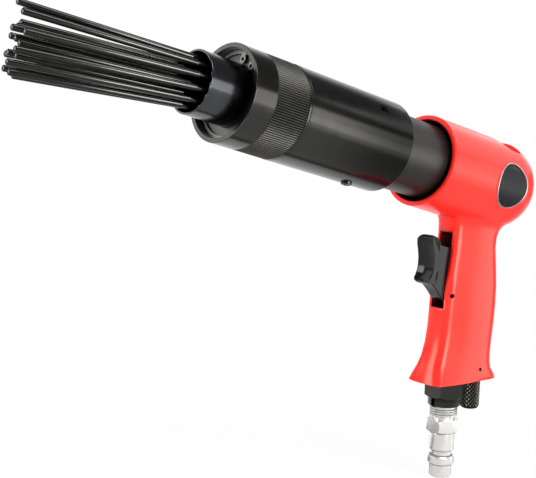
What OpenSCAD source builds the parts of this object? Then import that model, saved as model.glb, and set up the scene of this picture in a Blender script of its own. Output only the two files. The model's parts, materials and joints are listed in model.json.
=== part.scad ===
// Pneumatic needle scaler with a pistol grip.
// Millimetres. The barrel lies along X with the needles at -X, the grip hangs down in the plane Y = 0.
// The origin is on the axis of the air plug, in the middle of its tip.
// Lengths below are measured from the mouth of the red body, and every piece is then moved to the origin.

/* [Body barrel] */
// wall round the main bore, out to the barrel and the round rear end
body_wall = 5.35; // [4:0.05:8]
// wall round the exhaust mouth
mouth_wall = 2.5; // [1.4:0.1:3]
// where the front taper ends
body_taper_x = 30; // [10:1:45]
// centre of the round rear end
dome_x = 64; // [55:0.5:75]
// exhaust gap between cylinder and mouth
exhaust_gap = 2.6; // [1.5:0.1:3]
// depth of the exhaust mouth
mouth_bore_depth = 20; // [10:1:24]
// floor of the main bore
main_bore_end = 52.5; // [50:0.5:54]
// radius of the air chamber behind the bore
chamber_r = 8; // [5:0.5:10]
// depth of the air chamber
chamber_depth = 9; // [6:0.5:12]
// edge break at the mouth
mouth_chamfer = 0.8; // [0:0.1:1.5]

/* [Top notch] */
// front end of the sloping floor
notch_front_x = 43; // [38:0.5:48]
// upright rear wall
notch_rear_x = 67.5; // [60:0.5:72]
// depth below the top of the barrel
notch_depth = 6.6; // [3:0.1:7]
// round in the corner of the floor
notch_round = 1.5; // [0.5:0.1:3]
// length over which the slope falls
notch_slope = 16; // [8:0.5:20]

/* [Grip] */
// front edge of the grip as x and z, from the barrel to the base
grip_front = [[29, -17], [29.6, -21.4], [30.4, -23.4], [31.5, -25.4], [32.6, -27.6], [33.7, -31], [35, -37],
    [36.2, -46], [37.1, -58], [38.4, -70], [40.3, -80], [42, -90], [42.7, -100], [42.4, -108], [41.3, -114.5],
    [40.5, -120], [40.3, -123.857]];
// rear edge of the grip as x and z
grip_rear = [[82, -16], [78.8, -20.6], [77.3, -22.8], [76, -24.8], [75, -27.2], [74.4, -30.5],
    [75.2, -36.5], [79, -47], [83, -58], [85.8, -70], [87.5, -80], [88.6, -89.5], [89.6, -97],
    [90.8, -102.6], [92.4, -106.4], [95, -109], [96.8, -111.01]];
// half width at the same places
grip_half = [17.5, 15.2, 13.7, 12.8, 12.4, 12.3, 12.3, 12.4, 12.4, 12.4, 12.4, 12.4, 12.5, 12.7, 13.2,
    14.1, 14.6];
// how far out the corner of the front face lies, as a share of the half width
grip_corner = [0.7, 0.7, 0.7, 0.68, 0.66, 0.66, 0.66, 0.66, 0.66, 0.66, 0.66, 0.66, 0.66, 0.67, 0.71,
    0.79, 0.85];
// the front face up to its corner, as shares of the corner
nose_share = [0, 0.5, 0.85, 1];
// the side behind the corner, as shares of what is left
side_share = [0.2, 0.46, 0.75, 1];
// depths of both behind the front edge
nose_depth = [0, 0.4, 1.4, 2.8, 5.2, 9, 14, 20];
// depth of the rounded rear edge
grip_heel = 13; // [6:0.1:20]

/* [Trigger slot] */
// half width
slot_half = 4.67; // [3:0.01:6]
// top end
slot_top_z = -34.5; // [-40:0.1:-30]
// bottom end
slot_bottom_z = -78.4; // [-85:0.1:-70]
// rear wall
slot_rear_x = 51.5; // [48:0.1:55]

/* [Trigger] */
// half width of the finger pad
pad_half = 6.4; // [5:0.1:8]
// side play of the web in the slot
web_play = 0.35; // [0.2:0.01:0.6]
// pivot pin place along the barrel
pivot_x = 42; // [40:0.1:46]
// pivot pin height
pivot_z = -70.6; // [-75:0.1:-65]
// pivot pin radius
pivot_r = 1.25; // [1:0.05:2]
// running clearance of the trigger on its pin
pivot_play = 0.06; // [0.02:0.01:0.1]
// half length of the pin
pivot_half = 6.8; // [6:0.1:8]
// rear face of the web behind the pivot
web_back = 4.7; // [4:0.1:6]
// round at the top corners of the pad
pad_top_round = 4.6; // [2:0.1:6]
// round at the bottom corners of the pad
pad_low_round = 2.6; // [1:0.1:5]
// the finger pad seen from the side, from the pivot
pad_side = [[-23.5, 28.4], [-22.7, 25.6], [-21.1, 22.6], [-19.4, 18.6], [-18.5, 14.6], [-18.3, 11.1],
    [-18.8, 8.1], [-19.5, 6.2], [-19.4, 4.8], [-18.2, 3.8], [-15.8, 3.5], [-13.2, 4.2], [-13.8, 8.6],
    [-14.4, 13.6], [-15.2, 18.6], [-16, 22.6], [-16.4, 26.6], [-16.8, 29], [-18, 30.8], [-20, 31.8],
    [-22, 31.4], [-23.2, 30.1]];
// the lower edge of the web from the pivot, up to the pad
web_low = [[4.3, -1.6], [2.8, -3.6], [0, -4.4], [-2.4, -3.8], [-5.5, -1.8], [-9, 0.7], [-12.2, 2.6],
    [-15.6, 4]];
// top of the web above the pivot
web_top = 27.4; // [20:0.1:30]
// front of the web inside the pad
web_front = -16.5; // [-18:0.1:-14]

/* [Throttle] */
// height of the throttle axis
throttle_z = -50; // [-55:0.5:-45]
// radius of the throttle bore
throttle_bore_r = 4.5; // [4:0.05:4.6]
// end of the throttle bore
throttle_end_x = 73; // [70:0.5:76]
// clearance of the bush in its bore
bush_play = 0.03; // [0:0.01:0.1]
// rear end of the bush, which is the valve seat
seat_x = 61.5; // [58:0.1:64]
// stem radius
stem_r = 1.5; // [1:0.05:2]
// running clearance of the stem
stem_play = 0.05; // [0.02:0.01:0.1]
// gap between trigger and stem at rest
stem_gap = 0.2; // [0.1:0.01:0.4]
// radius of the air gallery inside the bush
gallery_r = 2.9; // [2:0.1:3.4]
// front end of the gallery
gallery_x = 56; // [55:0.1:58]
// poppet head radius
poppet_r = 3.9; // [3.2:0.1:4.2]
// poppet head thickness
poppet_length = 2.4; // [1.5:0.1:4]
// gap between head and seat
seat_gap = 0.1; // [0.05:0.01:0.2]
// play of the throttle spring at its ends
spring_play = 0.15; // [0.05:0.05:0.5]
// radius of the passage up to the valve
passage_r = 2.5; // [2:0.1:4]
// place of the passage up to the valve
outlet_x = 59; // [57.5:0.1:61]
// cross hole of the bush
bush_hole_r = 1.8; // [1:0.1:2.2]
// top of the feed passage
feed_x = 64.5; // [63:0.1:68]
// lean of the feed passage
feed_lean = 4.5; // [0:0.1:8]
// length of the feed passage
feed_length = 56; // [50:0.5:60]
// radius of the feed passage
feed_r = 3.4; // [2:0.1:4]

/* [Inlet] */
// lean of the inlet axis
inlet_tilt = 12.83; // [0:0.01:20]
// where the inlet axis meets the base of the grip
inlet_x = 60.9; // [55:0.1:65]
// height of that point
inlet_z = -119.2; // [-125:0.1:-110]
// radius of the inlet bore
inlet_bore_r = 9; // [8:0.05:10]
// depth of the inlet bore
inlet_bore_depth = 14; // [10:0.5:18]
// clearance of the bushing in the bore
bushing_play = 0.05; // [0:0.01:0.1]
// bushing hexagon across flats
bushing_flats = 21.4; // [17:0.1:24]
// end of the hexagon below the base
bushing_hex_end = 10; // [6:0.1:10]
// radius of the round part
bushing_r = 9.6; // [8.5:0.05:10]
// end of the bushing below the base
bushing_end = 15.5; // [12:0.1:18]
// chamfer across the corners of both hexagons
hex_chamfer = 1.2; // [0.5:0.1:2]
// what the chamfer leaves beyond the flats
hex_land = 0.3; // [0.1:0.05:0.6]
// land that carries the screen
screen_seat = 2; // [1:0.1:4]
// width of that land
screen_land = 1.5; // [1:0.1:2]
// screen thickness
screen_thick = 0.8; // [0.5:0.1:1.2]
// hole circle of the screen
screen_ring_r = 3; // [2:0.1:4]
// screen hole radius
screen_hole_r = 1.1; // [0.6:0.1:1.3]
// bore of the bushing
bushing_bore_r = 7; // [6:0.05:7.5]

/* [Air plug] */
// crest radius of the visible thread
plug_thread_r = 8.3; // [7:0.05:9]
// depth of the thread form
plug_thread_depth = 0.9; // [0.4:0.05:1.2]
// pitch of the thread form
plug_pitch = 1.55; // [1:0.05:2]
// number of visible crests
plug_crests = 4; // [2:1:6]
// hexagon across flats
plug_flats = 17.3; // [15:0.1:20]
// hexagon length
plug_hex_length = 8; // [6:0.1:10]
// neck radius under the thread
plug_neck_r = 6.6; // [5:0.05:7]
// neck length
plug_neck_length = 1.5; // [1:0.1:3]
// body radius
plug_body_r = 7.6; // [6:0.05:8]
// body length
plug_body_length = 11.4; // [8:0.1:14]
// groove radius for the coupling balls
plug_groove_r = 6.1; // [5:0.05:7]
// groove length
plug_groove_length = 3; // [2:0.1:5]
// collar radius
plug_collar_r = 7.8; // [6.5:0.05:8.5]
// collar length
plug_collar_length = 5.4; // [3:0.1:8]
// tip radius
plug_tip_r = 6.6; // [5:0.05:7]
// tip length
plug_tip_length = 7.6; // [5:0.1:10]
// bevel of the collar
plug_bevel = 1; // [0.5:0.1:1.5]
// edge break of the tip
plug_edge = 0.8; // [0.3:0.1:1.2]
// through bore
plug_bore_r = 4.4; // [3:0.1:5]
// clearance of the hidden spigot
plug_play = 0.05; // [0:0.01:0.1]

/* [Regulator] */
// distance of the regulator axis behind the inlet axis
regulator_back = 23.4; // [21:0.1:26]
// bush radius
regulator_bush_r = 7; // [6:0.05:8]
// bush depth
regulator_bush_depth = 10; // [8:0.5:11]
// stem radius
regulator_stem_r = 3; // [2:0.1:4]
// running clearance of the stem
regulator_play = 0.05; // [0.02:0.01:0.1]
// knob radius
knob_r = 6; // [5:0.1:8]
// knob start below the base
knob_start = 1; // [0.5:0.1:4]
// knob end below the base
knob_end = 20.5; // [15:0.1:24]
// cross channel of the regulator
channel_r = 1.6; // [1:0.1:2]
// cross pin place behind the inlet axis
cross_pin_back = 15.7; // [14:0.1:18]
// cross pin place above the base
cross_pin_up = 6.5; // [4:0.1:9]
// cross pin radius
cross_pin_r = 1.15; // [0.8:0.05:1.6]
// half length of the cross pin
cross_pin_half = 10.8; // [9:0.1:13]

/* [Cylinder and valve] */
// outer radius
cylinder_r = 21; // [19:0.05:22]
// clearance of the cylinder in body and housing
cylinder_play = 0.05; // [0.01:0.01:0.1]
// front end
cylinder_front_x = -64; // [-70:0.5:-58]
// rear end
cylinder_rear_x = 41.5; // [38:0.5:44]
// piston bore radius
piston_bore_r = 12; // [10:0.1:14]
// front end of the piston bore
piston_bore_front_x = -44; // [-50:0.5:-38]
// exhaust port radius
port_r = 2.6; // [1.5:0.1:4]
// exhaust port place
port_x = 12; // [6:0.5:16]
// place of the seal
seal_x = 32.7; // [28:0.1:36]
// width of the seal groove
seal_groove = 2.4; // [1.8:0.1:3]
// gap between cylinder and valve seat
stack_gap = 0.3; // [0.1:0.05:0.5]
// valve seat plate thickness
seat_length = 5.1; // [4:0.1:6]
// gap between flat valve faces
face_gap = 0.1; // [0.05:0.01:0.3]
// gap between the valve cap and the floor of the bore
cap_gap = 0.6; // [0.2:0.1:1]
// clearance of the valve plates in the bore
plate_play = 0.15; // [0.1:0.05:0.4]
// clearance round the shuttle disc
disc_play = 0.3; // [0.1:0.05:0.5]
// radius of the shuttle disc
disc_r = 8.6; // [6:0.1:10]
// thickness of the shuttle disc
disc_length = 1.2; // [0.8:0.1:2]
// depth of the pocket that the disc shuttles in
disc_pocket = 2.6; // [2:0.1:4]
// air hole in the cap and seat
valve_hole_r = 3.5; // [2:0.1:5]

/* [Piston and anvil] */
// running clearance of piston and anvil
run_play = 0.06; // [0.01:0.01:0.1]
// rear face of the piston
piston_rear_x = 39.5; // [36:0.5:41]
// piston length
piston_length = 34; // [20:0.5:40]
// oil grooves from the front of the piston
piston_grooves = [4, 10, 22, 28];
// oil groove width
piston_groove_width = 1.2; // [0.8:0.1:2]
// oil groove depth
piston_groove_depth = 0.6; // [0.3:0.1:1]
// anvil tail radius
anvil_tail_r = 8; // [6:0.1:10]
// rear end of the anvil tail
anvil_tail_x = -38; // [-42:0.5:-34]
// clearance of the anvil flange in the housing
anvil_gap = 2.05; // [0.5:0.05:4]
// gap between anvil flange and cylinder
anvil_seat_gap = 0.4; // [0.2:0.1:0.6]
// front face of the anvil flange
anvil_flange_x = -71; // [-74:0.1:-68]
// radius of the striking face
anvil_face_r = 10.6; // [9:0.1:12]
// place of the striking face
anvil_face_x = -73.6; // [-78:0.1:-72]

/* [Housing tube] */
// wall of the housing round the cylinder
tube_wall = 3.95; // [3:0.05:6]
// rear end
tube_rear_x = -33.5; // [-36:0.1:-30]
// front shoulder where the collar starts
tube_shoulder_x = -108; // [-112:0.1:-104]
// wall of the neck inside the collar
neck_wall = 1.95; // [1.2:0.05:2.4]
// front end of the neck
neck_front_x = -130; // [-132:0.1:-124]
// edge break of the turned pieces
edge = 0.6; // [0.2:0.1:1.2]
// place of the set screws
set_screw_x = -55.4; // [-60:0.1:-50]
// set screw radius
set_screw_r = 3; // [2:0.1:4]
// clearance of the set screws
set_screw_play = 0.05; // [0.02:0.01:0.1]
// turn of the first set screw up from the near side
set_screw_turn = 38.6; // [0:0.1:120]
// how far each set screw stands out
set_screw_proud = [-0.4, 1.3, 0.3];
// socket across flats
set_screw_flats = 3; // [2:0.1:4]
// socket depth
set_screw_socket = 2; // [1:0.1:3]
// edge break of the set screws
set_screw_edge = 0.4; // [0.2:0.1:0.8]
// gap between set screws and cylinder
set_screw_seat = 0.06; // [0.02:0.01:0.2]

/* [Collar and nozzle] */
// step down from the housing to the collar
collar_step = 0.1; // [0:0.05:1]
// gap between the collar and the housing shoulder
collar_gap = 0.1; // [0.05:0.05:0.5]
// front face
collar_front_x = -144.5; // [-148:0.1:-140]
// knurled band from
knurl_rear_x = -109.6; // [-114:0.1:-108]
// knurled band to
knurl_front_x = -130.6; // [-134:0.1:-124]
// depth of the lines at both ends of the knurl
knurl_line = 0.35; // [0.1:0.05:0.8]
// width of these lines
knurl_line_width = 0.8; // [0.4:0.1:1.2]
// clearance of the collar on the neck
collar_play = 0.05; // [0.02:0.01:0.1]
// rear face of the inner shoulder
shoulder_rear_x = -132; // [-134:0.1:-131]
// front face of the inner shoulder
shoulder_front_x = -135.2; // [-137:0.1:-134]
// step of the shoulder round the nozzle bore
shoulder_step = 1.2; // [0.5:0.1:2]
// width of the rim round the recess
rim_width = 2.5; // [1.5:0.1:4]
// depth of the groove for the retaining ring
groove_depth = 0.9; // [0.5:0.05:1.4]
// groove rear side
groove_rear_x = -138.7; // [-140:0.1:-138]
// groove front side
groove_front_x = -140.4; // [-142:0.1:-139.5]
// clearance of the nozzle flange in the recess
flange_gap = 0.2; // [0.1:0.05:0.5]
// gap between the flange and the shoulder
flange_seat = 0.05; // [0.02:0.01:0.2]
// nozzle wall
nozzle_wall = 1.1; // [0.8:0.05:2]
// edge break of the nozzle rim
nozzle_edge = 0.4; // [0.1:0.1:0.8]
// nozzle bore radius
nozzle_bore_r = 14.8; // [13.5:0.05:15.2]
// nozzle front rim
nozzle_front_x = -164; // [-168:0.1:-158]
// retaining ring thickness
ring_thick = 1.4; // [1:0.1:1.6]
// retaining ring width
ring_width = 2.75; // [1.5:0.05:3.5]
// play of the ring in its groove
ring_play = 0.15; // [0.1:0.05:0.4]
// gap between ring and nozzle flange
ring_gap = 0.1; // [0.05:0.05:0.3]
// eye radius of the retaining ring
ring_eye_r = 2; // [1.5:0.1:3]
// hole radius of the eyes
ring_hole_r = 0.95; // [0.5:0.05:1.2]
// gap between the eyes and the nozzle
ring_eye_gap = 0.3; // [0.2:0.1:1]
// turn of each eye from the middle of the ring gap
ring_eye_turn = 12.6; // [8:0.1:20]
// half width of the ring gap
ring_gap_half = 3.2; // [2:0.1:5]
// turn of the ring gap up from the near side
ring_turn = 64.4; // [0:0.1:360]

/* [Needles and holder] */
// needle radius
needle_r = 1.5; // [1:0.05:1.6]
// clearance of a needle in its hole
needle_play = 0.25; // [0.2:0.01:0.5]
// needle head radius
head_r = 2; // [1.6:0.05:2.2]
// needle head length
head_length = 2.2; // [1.5:0.1:3]
// gap between heads and the striking face
head_gap = 0.3; // [0.1:0.05:0.6]
// hole circle of the inner ring
inner_ring_r = 4.25; // [4:0.05:5]
// hole circle of the outer ring
outer_ring_r = 8.6; // [8.5:0.05:9]
// turn of the inner ring
inner_turn = 14; // [0:1:60]
// turn of the outer ring
outer_turn = 16; // [0:1:30]
// where the needles bend, in front of the nozzle
knee_x = -169; // [-180:0.5:-168]
// how far the bend stands out
knee_bead = 0.07; // [0.05:0.01:0.2]
// spread of the bundle there
knee_spread = 1.38; // [1:0.01:1.5]
// droop of the bundle there
knee_droop = 0.8; // [0:0.1:2]
// spread of the bundle at the tips, up and down
spread = 1.76; // [1:0.01:2]
// spread at the tips to the sides
side_spread = 1.4; // [1:0.01:2]
// droop of the bundle at the tips
droop = 7.9; // [0:0.1:9]
// scatter of the tips
scatter = 1.1; // [0:0.05:2]
// mean place of the tips
tips_x = -256; // [-262:0.5:-240]
// how far the tips differ in length
tips_step = 2.5; // [0:0.5:6]
// how far the near tips reach past the far ones, as a share of their distance
tips_slant = 0.4; // [0:0.05:0.6]
// edge break of the tips
tip_edge = 0.4; // [0.1:0.05:0.6]
// rear face of the holder
holder_rear_x = -71.2; // [-75:0.1:-70]
// floor that stops the heads
holder_floor_x = -81; // [-84:0.1:-78]
// front face of the holder
holder_front_x = -88; // [-94:0.1:-84]
// step where the spring seats
holder_step_x = -80.5; // [-84:0.1:-78]
// running clearance of the holder in the housing
holder_play = 0.08; // [0.02:0.01:0.1]
// gap between the pilot and the spring
pilot_gap = 1.75; // [0.5:0.05:2.5]
// pocket radius round the heads
holder_pocket_r = 11.3; // [10:0.1:12]

/* [Return spring] */
// gap between the spring and the housing
spring_gap = 1.6; // [0.5:0.05:2.5]
// gap at the ends of the spring
spring_seat = 0.1; // [0.05:0.05:0.3]
// wire radius
return_wire_r = 1.25; // [0.8:0.05:1.6]
// turns
return_turns = 6.5; // [4:0.5:10]

/* [Throttle spring] */
// mean radius
throttle_spring_r = 2.7; // [2:0.1:3.4]
// wire radius
throttle_wire_r = 0.35; // [0.2:0.05:0.6]
// turns
throttle_turns = 6; // [3:0.5:10]

/* [Badge] */
// place along the barrel
badge_x = 53; // [45:0.1:60]
// height
badge_z = -1.4; // [-6:0.1:6]
// plate radius
badge_r = 12.5; // [8:0.1:14]
// rim width
badge_rim_width = 0.7; // [0.4:0.1:1.5]
// how far the plate stands out
badge_proud = 0.45; // [0.2:0.05:0.8]
// how far the rim stands above the plate
badge_step = 0.15; // [0:0.05:0.4]
// gap under the badge
badge_gap = 0.04; // [0.02:0.01:0.1]

/* [Seals] */
// section radius of the large seal
big_seal_r = 0.9; // [0.6:0.05:1.2]
// section radius of the small seals
small_seal_r = 0.6; // [0.4:0.05:0.9]
// play of the small seals
seal_play = 0.05; // [0.02:0.01:0.1]

/* [Hidden] */
$fn = 64;
side_count = 8;
ring_steps = 24;
eps = 0.02;
body_bore_r = cylinder_r + cylinder_play;
mouth_bore_r = cylinder_r + exhaust_gap;
body_mouth_r = mouth_bore_r + mouth_wall;
body_r = body_bore_r + body_wall;
notch_floor_z = body_r - notch_depth;
tube_r = body_bore_r + tube_wall;
neck_r = body_bore_r + neck_wall;
collar_r = tube_r - collar_step;
recess_r = collar_r - rim_width;
groove_r = recess_r + groove_depth;
ring_outer_r = groove_r - ring_play;
ring_inner_r = ring_outer_r - ring_width;
nozzle_flange_r = recess_r - flange_gap;
nozzle_r = nozzle_bore_r + nozzle_wall;
shoulder_hole_r = nozzle_bore_r + shoulder_step;
ring_eye_x = nozzle_r + ring_eye_gap + ring_eye_r;
holder_r = body_bore_r - holder_play;
return_mean_r = body_bore_r - spring_gap - return_wire_r;
holder_pilot_r = return_mean_r - return_wire_r - pilot_gap;
anvil_flange_r = body_bore_r - anvil_gap;
plate_r = body_bore_r - plate_play;
valve_seat_x = cylinder_rear_x + stack_gap;
valve_seat_end_x = valve_seat_x + seat_length;
valve_cap_end_x = main_bore_end - cap_gap;
disc_x = valve_seat_end_x - disc_pocket + face_gap;
piston_front_x = piston_rear_x - piston_length;
web_rear_x = pivot_x + web_back;
web_half = slot_half - web_play;
stem_front_x = web_rear_x + stem_gap;
spring_front_x = seat_x + seat_gap + poppet_length + spring_play;
throttle_spring_end = throttle_end_x - spring_play - seat_gap;
plug_thread_end = bushing_end + plug_crests * plug_pitch + face_gap;
plug_hex_start = plug_thread_end + plug_neck_length;
plug_body_start = plug_hex_start + plug_hex_length;
plug_groove_start = plug_body_start + plug_body_length;
plug_collar_start = plug_groove_start + plug_groove_length;
plug_tip_start = plug_collar_start + plug_collar_length;
plug_end = plug_tip_start + plug_tip_length;
plug_seat = plug_tip_start + (plug_tip_length - plug_edge) / 2;
mouth_x = -inlet_x - plug_seat * sin(inlet_tilt);
mouth_z = plug_seat * cos(inlet_tilt) - inlet_z;
head_x = anvil_face_x - head_gap;
return_rear_x = holder_step_x - return_wire_r - spring_seat;
return_front_x = shoulder_rear_x + return_wire_r + spring_seat;

red = [0.86, 0.07, 0.05];
blacked = [0.12, 0.12, 0.13];
steel = [0.66, 0.67, 0.69];
bright = [0.80, 0.81, 0.83];
plastic = [0.06, 0.06, 0.065];
rubber = [0.04, 0.04, 0.04];

// Each piece is drawn from the mouth of the body.
module at_mouth() {
    translate([mouth_x, 0, mouth_z])
        children();
}

// A round bar along the barrel axis from x = a forward to rear b.
module bar(a, b, r) {
    translate([a, 0, 0])
        rotate([0, 90, 0])
            cylinder(h = b - a, r = r);
}

// A cone along the barrel axis, radius ra at a and rb at b.
module taper(a, b, ra, rb) {
    translate([a, 0, 0])
        rotate([0, 90, 0])
            cylinder(h = b - a, r1 = ra, r2 = rb);
}

// A cross bar along Y.
module cross(x, z, r, half) {
    translate([x, 0, z])
        rotate([90, 0, 0])
            cylinder(h = 2 * half, r = r, center = true);
}

// The inlet frame: +Z leaves the grip, +X points to the front.
module at_inlet() {
    translate([inlet_x, 0, inlet_z])
        rotate([0, 180 - inlet_tilt, 0])
            children();
}

// The regulator frame, beside the inlet frame.
module at_regulator() {
    at_inlet()
        translate([-regulator_back, 0, 0])
            children();
}

// A radial direction round the barrel, turned up from the near side.
module around(turn) {
    rotate([90 - turn, 0, 0])
        children();
}

// A hexagonal bar across flats, with its corners turned off at both ends.
module hex_bar(a, b, flats) {
    translate([0, 0, a])
        intersection() {
            rotate([0, 0, 30])
                cylinder(h = b - a, r = flats / 2 / cos(30), $fn = 6);
            rotate_extrude()
                polygon([[0, 0], [flats / 2 + hex_land, 0], [flats / 2 / cos(30) + hex_land, hex_chamfer],
                    [flats / 2 / cos(30) + hex_land, b - a - hex_chamfer], [flats / 2 + hex_land, b - a],
                    [0, b - a]]);
        }
}

// One section of the grip: a flattened front face, widening sides and a round rear edge.
function grip_section(i) =
    let (f = grip_front[i])
    let (g = grip_rear[i])
    let (span = norm(g - f))
    let (w = grip_half[i])
    let (c = grip_corner[i])
    let (share = concat([for (s = nose_share) s * c], [for (s = side_share) c + s * (1 - c)]))
    let (nose = [for (k = [1 : len(nose_depth) - 1]) [nose_depth[k], w * share[k]]])
    let (heel = [for (t = [0 : 15 : 90]) [span - grip_heel + grip_heel * cos(t), w * sin(t)]])
    let (far = concat(heel, [for (k = [len(nose) - 1 : -1 : 0]) nose[k]]))
    let (near = [for (k = [len(far) - 1 : -1 : 1]) [far[k][0], -far[k][1]]])
    let (across = (g - f) / span)
    [for (q = concat(far, [[0, 0]], near)) [f[0] + across[0] * q[0], q[1], f[1] + across[1] * q[0]]];

// The grip, skinned over its sections.
module grip_loft() {
    m = len(grip_front);
    n = len(grip_section(0));
    pts = [for (i = [0 : m - 1]) each grip_section(i)];
    skin_a = [for (i = [0 : m - 2]) for (k = [0 : n - 1]) [i * n + k, i * n + (k + 1) % n, (i + 1) * n + k]];
    skin_b = [for (i = [0 : m - 2]) for (k = [0 : n - 1])
        [i * n + (k + 1) % n, (i + 1) * n + (k + 1) % n, (i + 1) * n + k]];
    top = [[for (k = [0 : n - 1]) n - 1 - k]];
    base = [[for (k = [0 : n - 1]) (m - 1) * n + k]];
    polyhedron(points = pts, faces = concat(skin_a, skin_b, top, base));
}

// The scoop across the top rear of the body.
module notch_cut() {
    steps = 8;
    fall = body_r - notch_floor_z;
    ramp = [for (k = [0 : steps])
        [notch_front_x + notch_slope * k / steps, notch_floor_z + fall * (1 + cos(180 * k / steps)) / 2]];
    rest = [[notch_rear_x - notch_round, notch_floor_z], [notch_rear_x, notch_floor_z + notch_round],
        [notch_rear_x, 2 * body_r], [notch_front_x, 2 * body_r]];
    rotate([90, 0, 0])
        translate([0, 0, -1.5 * body_r])
            linear_extrude(height = 3 * body_r)
                polygon(concat(ramp, rest));
}

// The round barrel of the body with its round rear end.
module barrel_solid() {
    taper(0, mouth_chamfer, body_mouth_r - mouth_chamfer, body_mouth_r);
    taper(mouth_chamfer, body_taper_x, body_mouth_r, body_r);
    bar(body_taper_x, dome_x, body_r);
    translate([dome_x, 0, 0])
        rotate([0, 90, 0])
            sphere(r = body_r);
}

module grip_body() {
    color(red)
        at_mouth()
            difference() {
                union() {
                    barrel_solid();
                    grip_loft();
                }
                notch_cut();
                bar(-1, mouth_bore_depth, mouth_bore_r);
                bar(-1, main_bore_end, body_bore_r);
                bar(main_bore_end - 1, main_bore_end + chamber_depth, chamber_r);
                translate([0, -slot_half, slot_bottom_z])
                    cube([slot_rear_x, 2 * slot_half, slot_top_z - slot_bottom_z]);
                cross(pivot_x, pivot_z, pivot_r, body_r);
                translate([0, 0, throttle_z])
                    bar(slot_rear_x - 1, throttle_end_x, throttle_bore_r);
                translate([outlet_x, 0, throttle_z])
                    cylinder(h = -throttle_z, r = passage_r);
                translate([feed_x, 0, throttle_z - 1])
                    rotate([0, 180 + feed_lean, 0])
                        cylinder(h = feed_length, r = feed_r);
                at_inlet()
                    translate([0, 0, -inlet_bore_depth])
                        cylinder(h = 2 * inlet_bore_depth, r = inlet_bore_r);
                at_regulator()
                    translate([0, 0, -regulator_bush_depth])
                        cylinder(h = 2 * regulator_bush_depth, r = regulator_bush_r + bush_play);
                at_inlet()
                    translate([-regulator_back, 0, -regulator_bush_depth - channel_r])
                        rotate([0, 90, 0])
                            cylinder(h = regulator_back, r = channel_r);
                at_inlet()
                    translate([-cross_pin_back, 0, -cross_pin_up])
                        rotate([90, 0, 0])
                            cylinder(h = 4 * cross_pin_half, r = cross_pin_r, center = true);
            }
}

// A piece of thin tube on the near side of the body, cut round.
module badge_cut(ra, rb) {
    translate([badge_x, -body_r, badge_z])
        rotate([90, 0, 0])
            difference() {
                cylinder(h = body_r, r = rb, center = true);
                cylinder(h = 2 * body_r, r = ra, center = true);
            }
}

module badge_shell(top) {
    difference() {
        bar(badge_x - 1.5 * badge_r, badge_x + 1.5 * badge_r, body_r + top);
        bar(badge_x - 2 * badge_r, badge_x + 2 * badge_r, body_r + badge_gap);
    }
}

module badge_plate() {
    color(plastic)
        at_mouth()
            intersection() {
                badge_shell(badge_proud);
                translate([badge_x, -body_r, badge_z])
                    rotate([90, 0, 0])
                        cylinder(h = body_r, r = badge_r, center = true);
            }
}

module badge_rim() {
    color(bright)
        at_mouth()
            intersection() {
                badge_shell(badge_proud + badge_step);
                badge_cut(badge_r + badge_gap, badge_r + badge_rim_width);
            }
}

module cylinder_body_bores() {
    bar(piston_bore_front_x, cylinder_rear_x + 1, piston_bore_r + run_play);
    bar(cylinder_front_x - 1, piston_bore_front_x + 1, anvil_tail_r + run_play);
    for (turn = [0, 90, 180, 270])
        around(turn + 45)
            translate([port_x, 0, 0])
                cylinder(h = cylinder_r + 2, r = port_r);
}

module cylinder_barrel() {
    difference() {
        union() {
            bar(cylinder_front_x + edge, cylinder_rear_x - edge, cylinder_r);
            taper(cylinder_front_x, cylinder_front_x + edge, cylinder_r - edge, cylinder_r);
            taper(cylinder_rear_x - edge, cylinder_rear_x, cylinder_r, cylinder_r - edge);
        }
        cylinder_body_bores();
        difference() {
            bar(seal_x - seal_groove / 2, seal_x + seal_groove / 2, cylinder_r + 1);
            bar(seal_x - seal_groove, seal_x + seal_groove, cylinder_r - 2 * big_seal_r);
        }
    }
}

module cylinder_node() {
    color(blacked)
        at_mouth()
            cylinder_barrel();
}

// A seal ring round the barrel axis.
module seal(mean, section) {
    rotate_extrude()
        translate([mean, 0])
            circle(r = section, $fn = 24);
}

module cylinder_seal() {
    color(rubber)
        at_mouth()
            translate([seal_x, 0, 0])
                rotate([0, 90, 0])
                    seal(cylinder_r - big_seal_r, big_seal_r - eps);
}

module valve_seat() {
    color(steel)
        at_mouth()
            difference() {
                bar(valve_seat_x, valve_seat_end_x, plate_r);
                bar(valve_seat_end_x - disc_pocket, valve_seat_end_x + 1, disc_r + disc_play);
                bar(cylinder_rear_x - 1, valve_seat_end_x, valve_hole_r);
            }
}

module valve_disc() {
    color(bright)
        at_mouth()
            bar(disc_x, disc_x + disc_length, disc_r);
}

module valve_cap() {
    color(steel)
        at_mouth()
            difference() {
                bar(valve_seat_end_x + face_gap, valve_cap_end_x, plate_r);
                bar(valve_seat_end_x - 1, valve_cap_end_x + 1, valve_hole_r);
            }
}

module piston() {
    color(steel)
        at_mouth()
            difference() {
                union() {
                    bar(piston_front_x + edge, piston_rear_x - edge, piston_bore_r);
                    taper(piston_rear_x - edge, piston_rear_x, piston_bore_r, piston_bore_r - edge);
                    taper(piston_front_x, piston_front_x + edge, piston_bore_r - edge, piston_bore_r);
                }
                for (g = piston_grooves)
                    translate([piston_front_x + g, 0, 0])
                        difference() {
                            bar(0, piston_groove_width, piston_bore_r + 1);
                            bar(-1, piston_groove_width + 1, piston_bore_r - piston_groove_depth);
                        }
            }
}

module anvil() {
    color(steel)
        at_mouth() {
            taper(anvil_tail_x - edge, anvil_tail_x, anvil_tail_r, anvil_tail_r - edge);
            bar(cylinder_front_x - 1, anvil_tail_x - edge, anvil_tail_r);
            bar(anvil_flange_x, cylinder_front_x - anvil_seat_gap, anvil_flange_r);
            bar(anvil_face_x, anvil_flange_x + 1, anvil_face_r);
        }
}

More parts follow.
